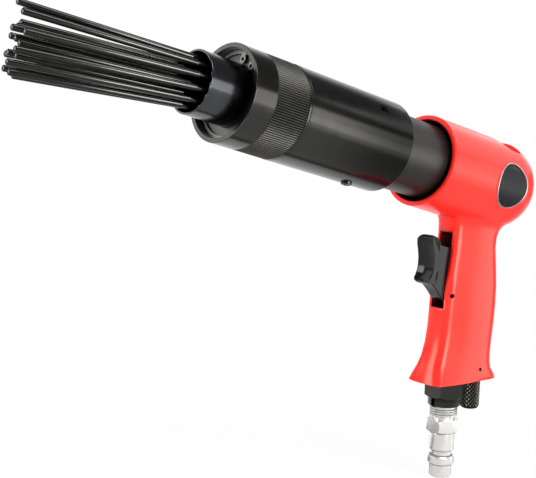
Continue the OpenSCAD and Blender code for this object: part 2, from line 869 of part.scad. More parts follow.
module housing_tube() {
    color(blacked)
        at_mouth()
            difference() {
                union() {
                    taper(tube_rear_x - edge, tube_rear_x, tube_r, tube_r - edge);
                    bar(tube_shoulder_x, tube_rear_x - edge, tube_r);
                    bar(neck_front_x, tube_shoulder_x + 1, neck_r);
                }
                bar(neck_front_x - 1, tube_rear_x + 1, body_bore_r);
                for (k = [0 : 2])
                    around(set_screw_turn - 360 / 3 * k)
                        translate([set_screw_x, 0, 0])
                            cylinder(h = tube_r + 4, r = set_screw_r + set_screw_play);
            }
}

module set_screw(proud) {
    top = tube_r + proud;
    foot = cylinder_r + set_screw_seat;
    difference() {
        union() {
            translate([0, 0, foot])
                cylinder(h = top - set_screw_edge - foot, r = set_screw_r);
            translate([0, 0, top - set_screw_edge])
                cylinder(h = set_screw_edge, r1 = set_screw_r, r2 = set_screw_r - set_screw_edge);
        }
        translate([0, 0, top - set_screw_socket])
            cylinder(h = 2 * set_screw_socket, r = set_screw_flats / 2 / cos(30), $fn = 6);
    }
}

module set_screws() {
    color(blacked)
        at_mouth()
            for (k = [0 : 2])
                around(set_screw_turn - 360 / 3 * k)
                    translate([set_screw_x, 0, 0])
                        set_screw(set_screw_proud[k]);
}

// A shallow line turned into the collar.
module collar_line(x) {
    difference() {
        bar(x - knurl_line_width / 2, x + knurl_line_width / 2, collar_r + 1);
        bar(x - knurl_line_width, x + knurl_line_width, collar_r - knurl_line);
    }
}

module front_collar() {
    color(blacked)
        at_mouth()
            difference() {
                union() {
                    taper(collar_front_x, collar_front_x + edge, collar_r - edge, collar_r);
                    bar(collar_front_x + edge, tube_shoulder_x - collar_gap, collar_r);
                }
                collar_line(knurl_front_x - knurl_line_width / 2);
                collar_line(knurl_rear_x + knurl_line_width / 2);
                bar(shoulder_rear_x, tube_shoulder_x + 1, neck_r + collar_play);
                bar(collar_front_x - 1, shoulder_front_x, recess_r);
                bar(shoulder_front_x - 1, shoulder_rear_x + 1, shoulder_hole_r);
                bar(groove_front_x, groove_rear_x, groove_r);
            }
}

module nozzle() {
    color(blacked)
        at_mouth()
            difference() {
                union() {
                    bar(groove_rear_x, shoulder_front_x - flange_seat, nozzle_flange_r);
                    bar(nozzle_front_x + nozzle_edge, shoulder_front_x - flange_seat, nozzle_r);
                    taper(nozzle_front_x, nozzle_front_x + nozzle_edge, nozzle_r - nozzle_edge, nozzle_r);
                }
                bar(nozzle_front_x - 1, shoulder_front_x + 1, nozzle_bore_r);
            }
}

// A flat ring with a gap and two eyes, sprung into the groove.
module ring_plan() {
    difference() {
        union() {
            difference() {
                circle(r = ring_outer_r);
                circle(r = ring_inner_r);
                translate([0, -ring_gap_half])
                    square([2 * ring_outer_r, 2 * ring_gap_half]);
            }
            for (s = [-1, 1])
                rotate([0, 0, s * ring_eye_turn]) {
                    translate([ring_eye_x, 0])
                        circle(r = ring_eye_r, $fn = 32);
                    translate([ring_eye_x, s > 0 ? -ring_eye_r / 2 : -ring_eye_r])
                        square([ring_inner_r + ring_width / 2 - ring_eye_x, 1.5 * ring_eye_r]);
                }
        }
        for (s = [-1, 1])
            rotate([0, 0, s * ring_eye_turn])
                translate([ring_eye_x, 0])
                    circle(r = ring_hole_r, $fn = 24);
    }
}

module retaining_ring() {
    color(steel)
        at_mouth()
            translate([groove_rear_x - ring_gap - ring_thick, 0, 0])
                around(ring_turn - 90)
                    rotate([0, 90, 0])
                        rotate([0, 0, 90])
                            linear_extrude(height = ring_thick)
                                ring_plan();
}

// A wound wire along Z, flat ended.
module coil(mean, wire, length, turns, sides) {
    steps = ceil(turns * ring_steps);
    pitch = length / turns;
    lean = atan2(pitch, 2 * PI * mean);
    pts = [for (i = [0 : steps]) for (j = [0 : sides - 1])
        let (t = 360 * turns * i / steps)
        let (b = 360 * (j + 0.5) / sides)
        let (o = wire * cos(b))
        let (h = wire * sin(b))
        [(mean + o) * cos(t) + h * sin(lean) * sin(t), (mean + o) * sin(t) - h * sin(lean) * cos(t),
            length * i / steps + h * cos(lean)]];
    skin = [for (i = [0 : steps - 1]) for (j = [0 : sides - 1])
        [i * sides + j, i * sides + (j + 1) % sides, (i + 1) * sides + (j + 1) % sides, (i + 1) * sides + j]];
    skin_a = [for (q = skin) [q[0], q[1], q[2]]];
    skin_b = [for (q = skin) [q[0], q[2], q[3]]];
    start = [[for (j = [0 : sides - 1]) sides - 1 - j]];
    end = [[for (j = [0 : sides - 1]) steps * sides + j]];
    polyhedron(points = pts, faces = concat(skin_a, skin_b, start, end));
}

module return_spring() {
    color(steel)
        at_mouth()
            translate([return_front_x, 0, 0])
                rotate([0, 90, 0])
                    coil(return_mean_r, return_wire_r, return_rear_x - return_front_x, return_turns,
                        side_count);
}

// Where needle i sits in the holder, where it bends in front of the nozzle, and where its tip is.
function turn_of(i) = i < 1 ? 0 : i < 7 ? 60 * (i - 1) + inner_turn : 30 * (i - 7) + outer_turn;
function ring_of(i) = i < 1 ? 0 : i < 7 ? inner_ring_r : outer_ring_r;
function needle_at(i, x, side, grow, fall) =
    [x, side * ring_of(i) * cos(turn_of(i)), grow * ring_of(i) * sin(turn_of(i)) - fall];
function needle_foot(i) = needle_at(i, head_x, 1, 1, 0);
function needle_knee(i) = needle_at(i, knee_x, knee_spread, knee_spread, knee_droop);
function tip_x(i) =
    tips_x + tips_slant * side_spread * ring_of(i) * cos(turn_of(i)) + tips_step * sin(i * 97);
function needle_tip(i) =
    needle_at(i, tip_x(i), side_spread, spread, droop) + scatter * [0, sin(i * 151), cos(i * 71)];

// Bring +Z onto the line from a to b.
module along(a, b) {
    d = b - a;
    yaw = atan2(d[1], d[0]);
    dive = acos(d[2] / norm(d));
    translate(a)
        rotate([0, dive, yaw])
            children();
}

module needle(i) {
    shank = norm(needle_knee(i) - needle_foot(i));
    reach = norm(needle_tip(i) - needle_knee(i));
    color(blacked)
        at_mouth() {
            along(needle_foot(i), needle_knee(i)) {
                cylinder(h = head_length, r = head_r, $fn = 24);
                translate([0, 0, head_length - eps])
                    cylinder(h = shank - head_length - knee_bead, r = needle_r, $fn = 24);
                translate([0, 0, shank])
                    sphere(r = needle_r + knee_bead, $fn = 24);
            }
            along(needle_knee(i), needle_tip(i)) {
                translate([0, 0, 2 * knee_bead])
                    cylinder(h = reach - tip_edge - 2 * knee_bead, r = needle_r, $fn = 24);
                translate([0, 0, reach - tip_edge])
                    cylinder(h = tip_edge, r1 = needle_r, r2 = needle_r - tip_edge, $fn = 24);
            }
        }
}

module needle_holder() {
    color(steel)
        at_mouth()
            difference() {
                union() {
                    bar(holder_step_x, holder_rear_x, holder_r);
                    bar(holder_front_x, holder_step_x + 1, holder_pilot_r);
                }
                bar(holder_floor_x, holder_rear_x + 1, holder_pocket_r);
                for (i = [0 : 18])
                    along(needle_foot(i), needle_knee(i))
                        cylinder(h = head_x - holder_front_x + head_length, r = needle_r + needle_play);
            }
}

module needle_01() {
    needle(0);
}

module needle_02() {
    needle(1);
}

module needle_03() {
    needle(2);
}

module needle_04() {
    needle(3);
}

module needle_05() {
    needle(4);
}

module needle_06() {
    needle(5);
}

module needle_07() {
    needle(6);
}

module needle_08() {
    needle(7);
}

module needle_09() {
    needle(8);
}

module needle_10() {
    needle(9);
}

module needle_11() {
    needle(10);
}

module needle_12() {
    needle(11);
}

module needle_13() {
    needle(12);
}

module needle_14() {
    needle(13);
}

module needle_15() {
    needle(14);
}

module needle_16() {
    needle(15);
}

module needle_17() {
    needle(16);
}

module needle_18() {
    needle(17);
}

module needle_19() {
    needle(18);
}

// The finger pad seen from the front: round at the top, tighter at the bottom.
module pad_front() {
    high = max([for (p = pad_side) p[1]]);
    low = min([for (p = pad_side) p[1]]);
    for (s = [-1, 1]) {
        translate([s * (pad_half - pad_top_round), high - pad_top_round])
            circle(r = pad_top_round);
        translate([s * (pad_half - pad_low_round), low + pad_low_round])
            circle(r = pad_low_round);
    }
    translate([-pad_half, low + pad_low_round])
        square([2 * pad_half, high - low - pad_top_round - pad_low_round]);
    translate([pad_top_round - pad_half, low + pad_low_round])
        square([2 * (pad_half - pad_top_round), high - low - pad_low_round]);
    translate([pad_low_round - pad_half, low])
        square([2 * (pad_half - pad_low_round), high - low - pad_top_round]);
}

// The finger pad: its side outline cut to its front outline.
module pad() {
    intersection() {
        translate([0, pad_half, 0])
            rotate([90, 0, 0])
                linear_extrude(height = 2 * pad_half)
                    polygon(pad_side);
        translate([-2 * pivot_x, 0, 0])
            rotate([90, 0, 90])
                linear_extrude(height = 2 * pivot_x)
                    pad_front();
    }
}

// The narrow web that runs into the slot.
module web() {
    rise = [[web_front, web_top], [web_back - edge, web_top], [web_back, web_top - edge], [web_back, 0]];
    translate([0, web_half, 0])
        rotate([90, 0, 0])
            linear_extrude(height = 2 * web_half)
                polygon(concat(rise, web_low));
}

module trigger() {
    color(plastic)
        at_mouth()
            difference() {
                translate([pivot_x, 0, pivot_z]) {
                    pad();
                    web();
                }
                cross(pivot_x, pivot_z, pivot_r + pivot_play, 2 * pad_half);
            }
}

module trigger_pin() {
    color(blacked)
        at_mouth()
            cross(pivot_x, pivot_z, pivot_r - eps, pivot_half);
}

module throttle_bush() {
    color(steel)
        at_mouth()
            difference() {
                translate([0, 0, throttle_z])
                    bar(slot_rear_x + stem_gap, seat_x, throttle_bore_r - bush_play);
                translate([0, 0, throttle_z])
                    bar(slot_rear_x - 1, seat_x, stem_r + stem_play);
                translate([0, 0, throttle_z])
                    bar(gallery_x, seat_x + 1, gallery_r);
                translate([0, 0, throttle_z])
                    bar(slot_rear_x - 1, slot_rear_x + 4 * small_seal_r, stem_r + 2 * small_seal_r);
                translate([outlet_x, 0, throttle_z])
                    cylinder(h = 2 * throttle_bore_r, r = bush_hole_r);
            }
}

module throttle_seal() {
    color(rubber)
        at_mouth()
            translate([slot_rear_x + stem_gap + 2 * small_seal_r, 0, throttle_z])
                rotate([0, 90, 0])
                    seal(stem_r + small_seal_r + seal_play, small_seal_r - seal_play);
}

module throttle_stem() {
    color(steel)
        at_mouth()
            translate([0, 0, throttle_z]) {
                taper(stem_front_x, stem_front_x + edge, stem_r - edge, stem_r);
                bar(stem_front_x + edge, seat_x + 1, stem_r);
                bar(seat_x + seat_gap, seat_x + seat_gap + poppet_length, poppet_r);
            }
}

module throttle_spring() {
    color(bright)
        at_mouth()
            translate([spring_front_x + throttle_wire_r, 0, throttle_z])
                rotate([0, 90, 0])
                    coil(throttle_spring_r, throttle_wire_r,
                        throttle_spring_end - spring_front_x - 2 * throttle_wire_r, throttle_turns, 6);
}

module inlet_bushing() {
    color(blacked)
        at_mouth()
            at_inlet()
                difference() {
                    union() {
                        translate([0, 0, 1 - inlet_bore_depth])
                            cylinder(h = inlet_bore_depth, r = inlet_bore_r - bushing_play);
                        hex_bar(stack_gap, bushing_hex_end, bushing_flats);
                        cylinder(h = bushing_end - edge, r = bushing_r);
                        translate([0, 0, bushing_end - edge])
                            cylinder(h = edge, r1 = bushing_r, r2 = bushing_r - edge);
                    }
                    translate([0, 0, -inlet_bore_depth])
                        cylinder(h = inlet_bore_depth + bushing_end, r = bushing_bore_r - screen_land);
                    translate([0, 0, screen_seat])
                        cylinder(h = bushing_end, r = bushing_bore_r);
                }
}

module inlet_screen() {
    color(bright)
        at_mouth()
            at_inlet()
                difference() {
                    translate([0, 0, screen_seat + face_gap])
                        cylinder(h = screen_thick, r = bushing_bore_r - face_gap);
                    for (k = [0 : 5])
                        rotate([0, 0, 60 * k])
                            translate([screen_ring_r, 0, 0])
                                cylinder(h = 3 * screen_seat, r = screen_hole_r, $fn = 24);
                    cylinder(h = 3 * screen_seat, r = screen_hole_r, $fn = 24);
                }
}

// The side of the plug as a turned profile, with the thread form as plain crests.
module plug_turned() {
    crests = [for (k = [0 : plug_crests - 1]) for (h = [0, 0.5])
        [plug_thread_r - (h == 0 ? plug_thread_depth : 0), bushing_end + face_gap + (k + h) * plug_pitch]];
    foot = screen_seat + screen_thick + 2 * face_gap + plug_play;
    spigot = [[plug_bore_r, foot], [bushing_bore_r - plug_play, foot],
        [bushing_bore_r - plug_play, bushing_end + face_gap]];
    neck = [[plug_thread_r - plug_thread_depth, plug_thread_end], [plug_neck_r, plug_thread_end],
        [plug_neck_r, plug_hex_start + 1], [plug_body_r, plug_hex_start + 1]];
    body = [[plug_body_r, plug_groove_start], [plug_groove_r, plug_groove_start],
        [plug_groove_r, plug_collar_start], [plug_collar_r - plug_bevel, plug_collar_start]];
    tip = [[plug_collar_r, plug_collar_start + plug_bevel], [plug_collar_r, plug_tip_start - plug_bevel],
        [plug_tip_r, plug_tip_start], [plug_tip_r, plug_end - plug_edge], [plug_tip_r - plug_edge, plug_end],
        [plug_bore_r, plug_end]];
    rotate_extrude()
        polygon(concat(spigot, crests, neck, body, tip));
}

module air_plug() {
    color(bright)
        at_mouth()
            at_inlet() {
                plug_turned();
                difference() {
                    hex_bar(plug_hex_start, plug_body_start, plug_flats);
                    translate([0, 0, screen_seat])
                        cylinder(h = plug_end, r = plug_bore_r);
                }
            }
}

module regulator_bush() {
    color(steel)
        at_mouth()
            difference() {
                at_regulator()
                    translate([0, 0, 2 * face_gap - regulator_bush_depth])
                        cylinder(h = regulator_bush_depth, r = regulator_bush_r);
                at_regulator()
                    translate([0, 0, -regulator_bush_depth - 1])
                        cylinder(h = 3 * regulator_bush_depth, r = regulator_stem_r + regulator_play);
                at_regulator()
                    translate([0, 0, -4 * small_seal_r])
                        cylinder(h = 8 * small_seal_r, r = regulator_stem_r + 2 * small_seal_r);
                at_inlet()
                    translate([-cross_pin_back, 0, -cross_pin_up])
                        rotate([90, 0, 0])
                            cylinder(h = 4 * cross_pin_half, r = cross_pin_r, center = true);
            }
}

module regulator_seal() {
    color(rubber)
        at_mouth()
            at_regulator()
                translate([0, 0, -2 * small_seal_r])
                    seal(regulator_stem_r + small_seal_r + seal_play, small_seal_r - seal_play);
}

module regulator_knob() {
    color(blacked)
        at_mouth()
            at_regulator() {
                translate([0, 0, 2 * face_gap - regulator_bush_depth])
                    cylinder(h = regulator_bush_depth + knob_start + edge, r = regulator_stem_r);
                translate([0, 0, knob_start])
                    cylinder(h = edge, r1 = knob_r - edge, r2 = knob_r);
                translate([0, 0, knob_start + edge])
                    cylinder(h = knob_end - knob_start - 2 * edge, r = knob_r);
                translate([0, 0, knob_end - edge])
                    cylinder(h = edge, r1 = knob_r, r2 = knob_r - edge);
            }
}

module regulator_pin() {
    color(blacked)
        at_mouth()
            at_inlet()
                translate([-cross_pin_back, 0, -cross_pin_up])
                    rotate([90, 0, 0])
                        cylinder(h = 2 * cross_pin_half, r = cross_pin_r - eps, center = true);
}

grip_body();
badge_plate();
badge_rim();
cylinder_node();  // cylinder
cylinder_seal();
valve_seat();
valve_disc();
valve_cap();
piston();
anvil();
housing_tube();
set_screws();
front_collar();
nozzle();
retaining_ring();
return_spring();
needle_holder();
trigger();
trigger_pin();
throttle_bush();
throttle_seal();
throttle_stem();
throttle_spring();
inlet_bushing();
inlet_screen();
air_plug();
regulator_bush();
regulator_seal();
regulator_knob();
regulator_pin();
needle_01();
needle_02();
needle_03();
needle_04();
needle_05();
needle_06();
needle_07();
needle_08();
needle_09();
needle_10();
needle_11();
needle_12();
needle_13();
needle_14();
needle_15();
needle_16();
needle_17();
needle_18();
needle_19();
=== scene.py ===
# %% [markdown]
# # Dressing a pneumatic needle scaler
# The tool is already built as exact solids: a red pistol grip casting, a black steel barrel, a bundle of
# loose needles and an air plug. Here each piece gets its edges, its knurls and its finish. The solids are
# loaded as a fixed frame, so every new piece is made right where its solid is, and rides on the same
# moving body.

# %% Load the frame
import json
from math import atan2, ceil, cos, hypot, pi, radians, sin

import bmesh
import bpy
from mathutils import Matrix, Vector


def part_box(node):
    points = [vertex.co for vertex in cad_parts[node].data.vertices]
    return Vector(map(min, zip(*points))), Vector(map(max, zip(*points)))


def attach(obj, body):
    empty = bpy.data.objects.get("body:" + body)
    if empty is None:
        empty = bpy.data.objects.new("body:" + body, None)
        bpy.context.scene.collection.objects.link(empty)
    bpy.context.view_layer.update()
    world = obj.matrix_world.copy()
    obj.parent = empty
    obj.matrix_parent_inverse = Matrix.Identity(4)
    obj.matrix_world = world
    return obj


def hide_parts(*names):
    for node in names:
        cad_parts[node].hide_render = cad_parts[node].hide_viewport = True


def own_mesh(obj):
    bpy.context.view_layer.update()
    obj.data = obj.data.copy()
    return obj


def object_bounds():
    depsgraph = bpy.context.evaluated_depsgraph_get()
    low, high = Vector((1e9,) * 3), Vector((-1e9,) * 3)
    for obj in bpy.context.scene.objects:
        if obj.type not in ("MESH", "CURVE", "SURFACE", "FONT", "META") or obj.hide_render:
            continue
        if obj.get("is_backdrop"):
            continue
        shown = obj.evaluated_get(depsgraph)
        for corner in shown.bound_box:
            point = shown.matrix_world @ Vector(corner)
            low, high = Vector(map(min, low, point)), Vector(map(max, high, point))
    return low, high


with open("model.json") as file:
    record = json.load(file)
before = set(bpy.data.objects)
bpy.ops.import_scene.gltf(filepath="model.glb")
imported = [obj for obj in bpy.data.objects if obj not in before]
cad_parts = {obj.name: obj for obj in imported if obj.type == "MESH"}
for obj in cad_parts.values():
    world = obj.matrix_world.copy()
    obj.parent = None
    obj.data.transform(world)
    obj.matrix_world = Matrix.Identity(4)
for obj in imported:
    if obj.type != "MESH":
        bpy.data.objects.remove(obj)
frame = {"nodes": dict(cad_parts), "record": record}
NODES = frame["nodes"]
RECORD = frame["record"]
BODY_OF = {node: body for body, nodes in RECORD["behaviour"]["bodies"].items() for node in nodes}
cad_low, cad_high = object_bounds()
print("nodes", len(NODES), "box", [round(v, 4) for v in cad_high - cad_low])

# %% [markdown]
# ## Two axes
# Almost everything on the tool is turned about one of two lines: the barrel axis, and the leaning inlet
# axis under the grip. Both are read from the frame, so nothing is fitted by eye. Sizes below are in
# millimetres, measured from the mouth of the casting along the barrel, or from the base of the grip along
# the inlet.

# %% The barrel axis and the inlet axis
MM = 0.001


def corners(node):
    low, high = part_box(node)
    return Vector(low), Vector(high)


low, high = corners("housing_tube")
AXIS_Z = (low.z + high.z) / 2
MOUTH_X = corners("grip_body")[0].x
BARREL = Matrix.Translation((MOUTH_X, 0, AXIS_Z))
INLET_DOWN = Vector(RECORD["mounts"][0]["axis"]).normalized()
INLET_TURN = Matrix.Rotation(pi - atan2(INLET_DOWN.x, -INLET_DOWN.z), 4, "Y")
PLUG_SEAT = 54.5 * MM  # from the base of the grip to the origin, on the tip of the plug
INLET = Matrix.Translation(-PLUG_SEAT * INLET_DOWN) @ INLET_TURN
print("barrel axis height", round(AXIS_Z, 4), "mouth", round(MOUTH_X, 4))

# %% [markdown]
# ## The camera
# A real photograph is matched by its lens and place, not by nudging the object. The camera looks at the
# tool from the front and near side, almost level, and is rolled so that the barrel climbs to the upper
# left.

# %% Camera
LENS, SENSOR = 76.37, 36
EYE = Vector((-0.543316, -0.436651, 0.089987))
right = Vector((0.739033, -0.640460, 0.208906))
up = Vector((-0.179973, 0.111129, 0.977374))
back = right.cross(up)
turn = Matrix((right, up, back)).transposed().to_4x4()
cam_data = bpy.data.cameras.new("photo_camera")
cam_data.lens = LENS
cam_data.sensor_width = SENSOR
camera = bpy.data.objects.new("photo_camera", cam_data)
bpy.context.collection.objects.link(camera)
camera.matrix_world = Matrix.Translation(EYE) @ turn
bpy.context.scene.camera = camera
print("camera to mouth", round((EYE - BARREL.translation).length, 3))

# %% [markdown]
# ## Sockets that take part in sums
# Shader nodes can be joined one by one, but a mask soon takes a dozen Math nodes. A small class that
# wraps a socket lets the sum be written as in any program, and each sign adds its own node. One method
# adds any other node, with its settings first and then its sockets.

# %% Node helpers
class Val:
    """A shader socket that can be used in a Python expression."""

    def __init__(self, tree, socket):
        self.tree = tree
        self.socket = socket

    def join(self, operation, first, second):
        node = self.tree.nodes.new("ShaderNodeMath")
        node.operation = operation
        for slot, value in zip(node.inputs, (first, second)):
            if isinstance(value, Val):
                self.tree.links.new(value.socket, slot)
            else:
                slot.default_value = value
        return Val(self.tree, node.outputs[0])

    def __add__(self, other):
        return self.join("ADD", self, other)

    def __radd__(self, other):
        return self.join("ADD", other, self)

    def __sub__(self, other):
        return self.join("SUBTRACT", self, other)

    def __rsub__(self, other):
        return self.join("SUBTRACT", other, self)

    def __mul__(self, other):
        return self.join("MULTIPLY", self, other)

    def __rmul__(self, other):
        return self.join("MULTIPLY", other, self)

    def __gt__(self, other):
        return self.join("GREATER_THAN", self, other)

    def __lt__(self, other):
        return self.join("LESS_THAN", self, other)


class Shader:
    """A node tree with one method that adds any node."""

    def __init__(self, tree):
        self.tree = tree
        tree.nodes.clear()

    def node(self, kind, settings=(), **sockets):
        made = self.tree.nodes.new("ShaderNode" + kind)
        for key, value in dict(settings).items():
            setattr(made, key, value)
        for key, value in sockets.items():
            numbered = key[1:].isdigit()
            slot = made.inputs[int(key[1:]) if numbered else key.replace("_", " ")]
            if isinstance(value, Val):
                self.tree.links.new(value.socket, slot)
            elif slot.type == "RGBA":
                slot.default_value = (*value, 1)
            else:
                slot.default_value = value
        return made

    def out(self, made, name=0):
        return Val(self.tree, made.outputs[name])

    def place(self):
        return self.out(self.node("TexCoord"), "Object")

    def axes(self, place):
        split = self.node("SeparateXYZ", Vector=place)
        return self.out(split, "X"), self.out(split, "Y"), self.out(split, "Z")

    def ramp(self, value, start, end, low=0.0, high=1.0):
        made = self.node("MapRange", {"interpolation_type": "SMOOTHSTEP"}, Value=value,
                         From_Min=start, From_Max=end, To_Min=low, To_Max=high)
        return self.out(made)


print("helpers ready")

# %% [markdown]
# ## The white room
# Gloss paint and black steel show their surroundings more than their own colour. A product studio is
# white behind the object and dim round the camera, and that is what draws the dark bands along a black
# barrel. So the world is white where it is seen, and what a glossy surface mirrors is white straight
# behind the tool and dim elsewhere.

# %% World
FILL, DIM = 0.6, 0.11
BEHIND_FROM, BEHIND_FULL = 0.62, 0.95
scene = bpy.context.scene
scene.view_settings.view_transform = "Standard"
world = bpy.data.worlds.new("white_room")
scene.world = world
world.use_nodes = True
room = Shader(world.node_tree)
path = room.node("LightPath")
seen = room.out(path, "Is Camera Ray") + room.out(path, "Is Transmission Ray")
mirrored = room.out(path, "Is Glossy Ray")
heading = room.out(room.node("TexCoord"), "Generated")
away = room.node("VectorMath", {"operation": "DOT_PRODUCT"}, _0=heading, _1=-back)
behind = room.ramp(room.out(away, "Value"), BEHIND_FROM, BEHIND_FULL, DIM, 1.0)
strength = FILL + (1 - FILL) * seen + mirrored * (behind - FILL)
sky = room.node("Background", Color=(1, 1, 1), Strength=strength)
room.node("OutputWorld", Surface=room.out(sky))
print("fill light", FILL)

# %% [markdown]
# ## The floor
# The floor is a pale sheet. To the camera it is almost as white as the room, but part of it stays a plain
# matt surface, so the tool keeps a faint shadow where it stands. In the gloss of the barrel it is a grey
# table, then a thin dark gap, then the white sweep behind: that gap is the fine black line low on the
# barrel.

# %% Floor
FLOOR_R, FLOOR_DROP, FLOOR_GREY = 6, 0.5 * MM, (0.8, 0.8, 0.8)
TABLE_GREY, TABLE_EDGE, SWEEP_EDGE = 0.5, (0.020, 0.032), (0.050, 0.062)
SHADOW_FROM, SHADOW_TO, SHADOW_CLEAR = 0.05, 0.6, 0.92
floor_mesh = bpy.data.meshes.new("floor")
bm = bmesh.new()
bmesh.ops.create_circle(bm, cap_ends=True, segments=64, radius=FLOOR_R)
bmesh.ops.translate(bm, verts=bm.verts, vec=(0, 0, cad_low.z - FLOOR_DROP))
bm.to_mesh(floor_mesh)
bm.free()
floor = bpy.data.objects.new("floor", floor_mesh)
bpy.context.collection.objects.link(floor)
floor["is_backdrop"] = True
pale = bpy.data.materials.new("pale_floor")
pale.use_nodes = True
ground = Shader(pale.node_tree)
path = ground.node("LightPath")
spot = ground.place()
reach = ground.out(ground.node("VectorMath", {"operation": "LENGTH"}, _0=spot), "Value")
seen = ground.out(path, "Is Camera Ray") + ground.out(path, "Is Transmission Ray")
mirrored = ground.out(path, "Is Glossy Ray")
across = ground.axes(spot)[1]
table = TABLE_GREY - TABLE_GREY * ground.ramp(across, *TABLE_EDGE)
shown = seen + mirrored * (table + ground.ramp(across, *SWEEP_EDGE))
white = ground.node("Mix", {"data_type": "RGBA"}, _0=shown, _6=(0, 0, 0), _7=(1, 1, 1))
glow = ground.node("Emission", Color=ground.out(white, 2), Strength=1.0)
matt = ground.node("BsdfDiffuse", Color=FLOOR_GREY)
clear = seen * ground.ramp(reach, SHADOW_FROM, SHADOW_TO, SHADOW_CLEAR, 1.0) + mirrored
blend = ground.node("MixShader", _0=clear, _1=ground.out(matt), _2=ground.out(glow))
ground.node("OutputMaterial", Surface=ground.out(blend))
floor_mesh.materials.append(pale)
print("floor at", round(cad_low.z, 4))

# %% [markdown]
# ## Softboxes
# Large lamps stand in for the studio's softboxes. The widest is on the near right: its image is the pale
# streak along the barrel and the even sheen on the side of the grip. The rear panel and the card on the
# table are placed so that only the casting mirrors them. Two smaller ones draw the line of light down the
# front corner of the grip and the flare low on its front, and the others light the top and the faces that
# look forward.

# %% Lamps
def softbox(name, place, width, height, watts):
    data = bpy.data.lights.new(name, "AREA")
    data.shape = "RECTANGLE"
    data.size = width
    data.size_y = height
    data.energy = watts
    lamp = bpy.data.objects.new(name, data)
    bpy.context.collection.objects.link(lamp)
    aim = (cad_low + cad_high) / 2 - Vector(place)
    lamp.matrix_world = Matrix.Translation(place) @ aim.to_track_quat("-Z", "Y").to_matrix().to_4x4()
    return round(watts / (pi * width * height), 2)


SOFTBOXES = {
    "near_side": ((0.85, -1.1, 0.36), 1.6, 0.7, 5.4),
    "rear_panel": ((0.5, -0.045, 0.55), 0.75, 0.3, 0.85),
    "table_card": ((0.46, -0.42, 0.01), 0.45, 0.5, 0.7),
    "corner_strip": ((-0.11, -0.76, 0.21), 0.34, 0.42, 5.0),
    "front_strip": ((-1.14, 0.47, 0.23), 0.42, 0.44, 5.2),
    "front_far": ((-0.82, 1.08, 0.58), 0.6, 0.8, 2.4),
    "overhead": ((-0.35, -0.5, 1.15), 0.9, 0.6, 7),
}
for name, setting in SOFTBOXES.items():
    print(name, "shines with", softbox(name, *setting), "watts per square metre and steradian")

# %% [markdown]
# ## A finish
# Paint, blackened steel, bright plating and moulded plastic differ in how sharp their reflections are,
# and in what breaks them up. Each finish below is one Principled shader. Numbers that hold all over are
# set on the shader itself, and a small function adds what changes from place to place.

# %% Finish helpers
def finish(name, colour, metallic, detail, shine=0.5, sheen=(1, 1, 1)):
    material = bpy.data.materials.new(name)
    material.use_nodes = True
    material.diffuse_color = (*colour, 1)
    shader = Shader(material.node_tree)
    surface = shader.node("BsdfPrincipled", Base_Color=colour, Metallic=metallic,
                          Specular_IOR_Level=shine, Specular_Tint=sheen)
    shader.node("OutputMaterial", Surface=shader.out(surface))
    for socket, value in detail(shader).items():
        shader.tree.links.new(value.socket, surface.inputs[socket])
    return material


def tinted(shader, amount, low, high):
    mix = shader.node("Mix", {"data_type": "RGBA"}, _0=amount, _6=low, _7=high)
    return shader.out(mix, 2)


def noise(shader, scale, detail=2.0):
    return shader.out(shader.node("TexNoise", Vector=shader.place(), Scale=scale, Detail=detail), "Fac")


def bumped(shader, height, strength, distance):
    return shader.out(shader.node("Bump", Height=height, Strength=strength, Distance=distance))


print("materials so far", len(bpy.data.materials))

# %% [markdown]
# ## Red paint
# The casting is sprayed with gloss paint, and its sheen is slightly warm. Close up it has a faint orange
# peel and a slow change of tone. The trigger slot, the bore and the two cross holes are painted dark, as
# painted shade, and the slot grows darker further in. They are found by their place: bore and holes are
# distances from their axes, and the slot is a box.

# %% Red paint
PIVOT = Vector(RECORD["behaviour"]["joints"][0]["pos_m"])
CROSS_PIN = INLET @ Vector((-15.7 * MM, 0, -6.5 * MM))
PIVOT_HOLE_R, CROSS_HOLE_R = 1.4, 1.3
SLOT_HALF, SLOT_REAR, SLOT_TOP, SLOT_LOW = 4.8, 52.5, -34.0, -79.0
SLOT_LIT, SLOT_DARK = 31, 38
BORE_R, BORE_END, BORE_LIT, BORE_DARK = 23.9, 53.5, 0.6, 2.5
PAINT_CLOUD, PEEL_SCALE, PEEL_STRENGTH, PEEL_DEPTH = 35, 900, 0.05, 0.0004
PAINT_LOW, PAINT_HIGH = (0.86, 0.019, 0.014), (0.92, 0.025, 0.019)
SLOT_SHADE, BORE_SHADE, HOLE_SHADE = (0.05, 0.002, 0.002), (0.015, 0.008, 0.008), (0.006, 0.004, 0.004)


def hole_mask(x, z, centre, radius):
    dx, dz = x - centre.x, z - centre.z
    return (dx * dx + dz * dz) < radius * radius


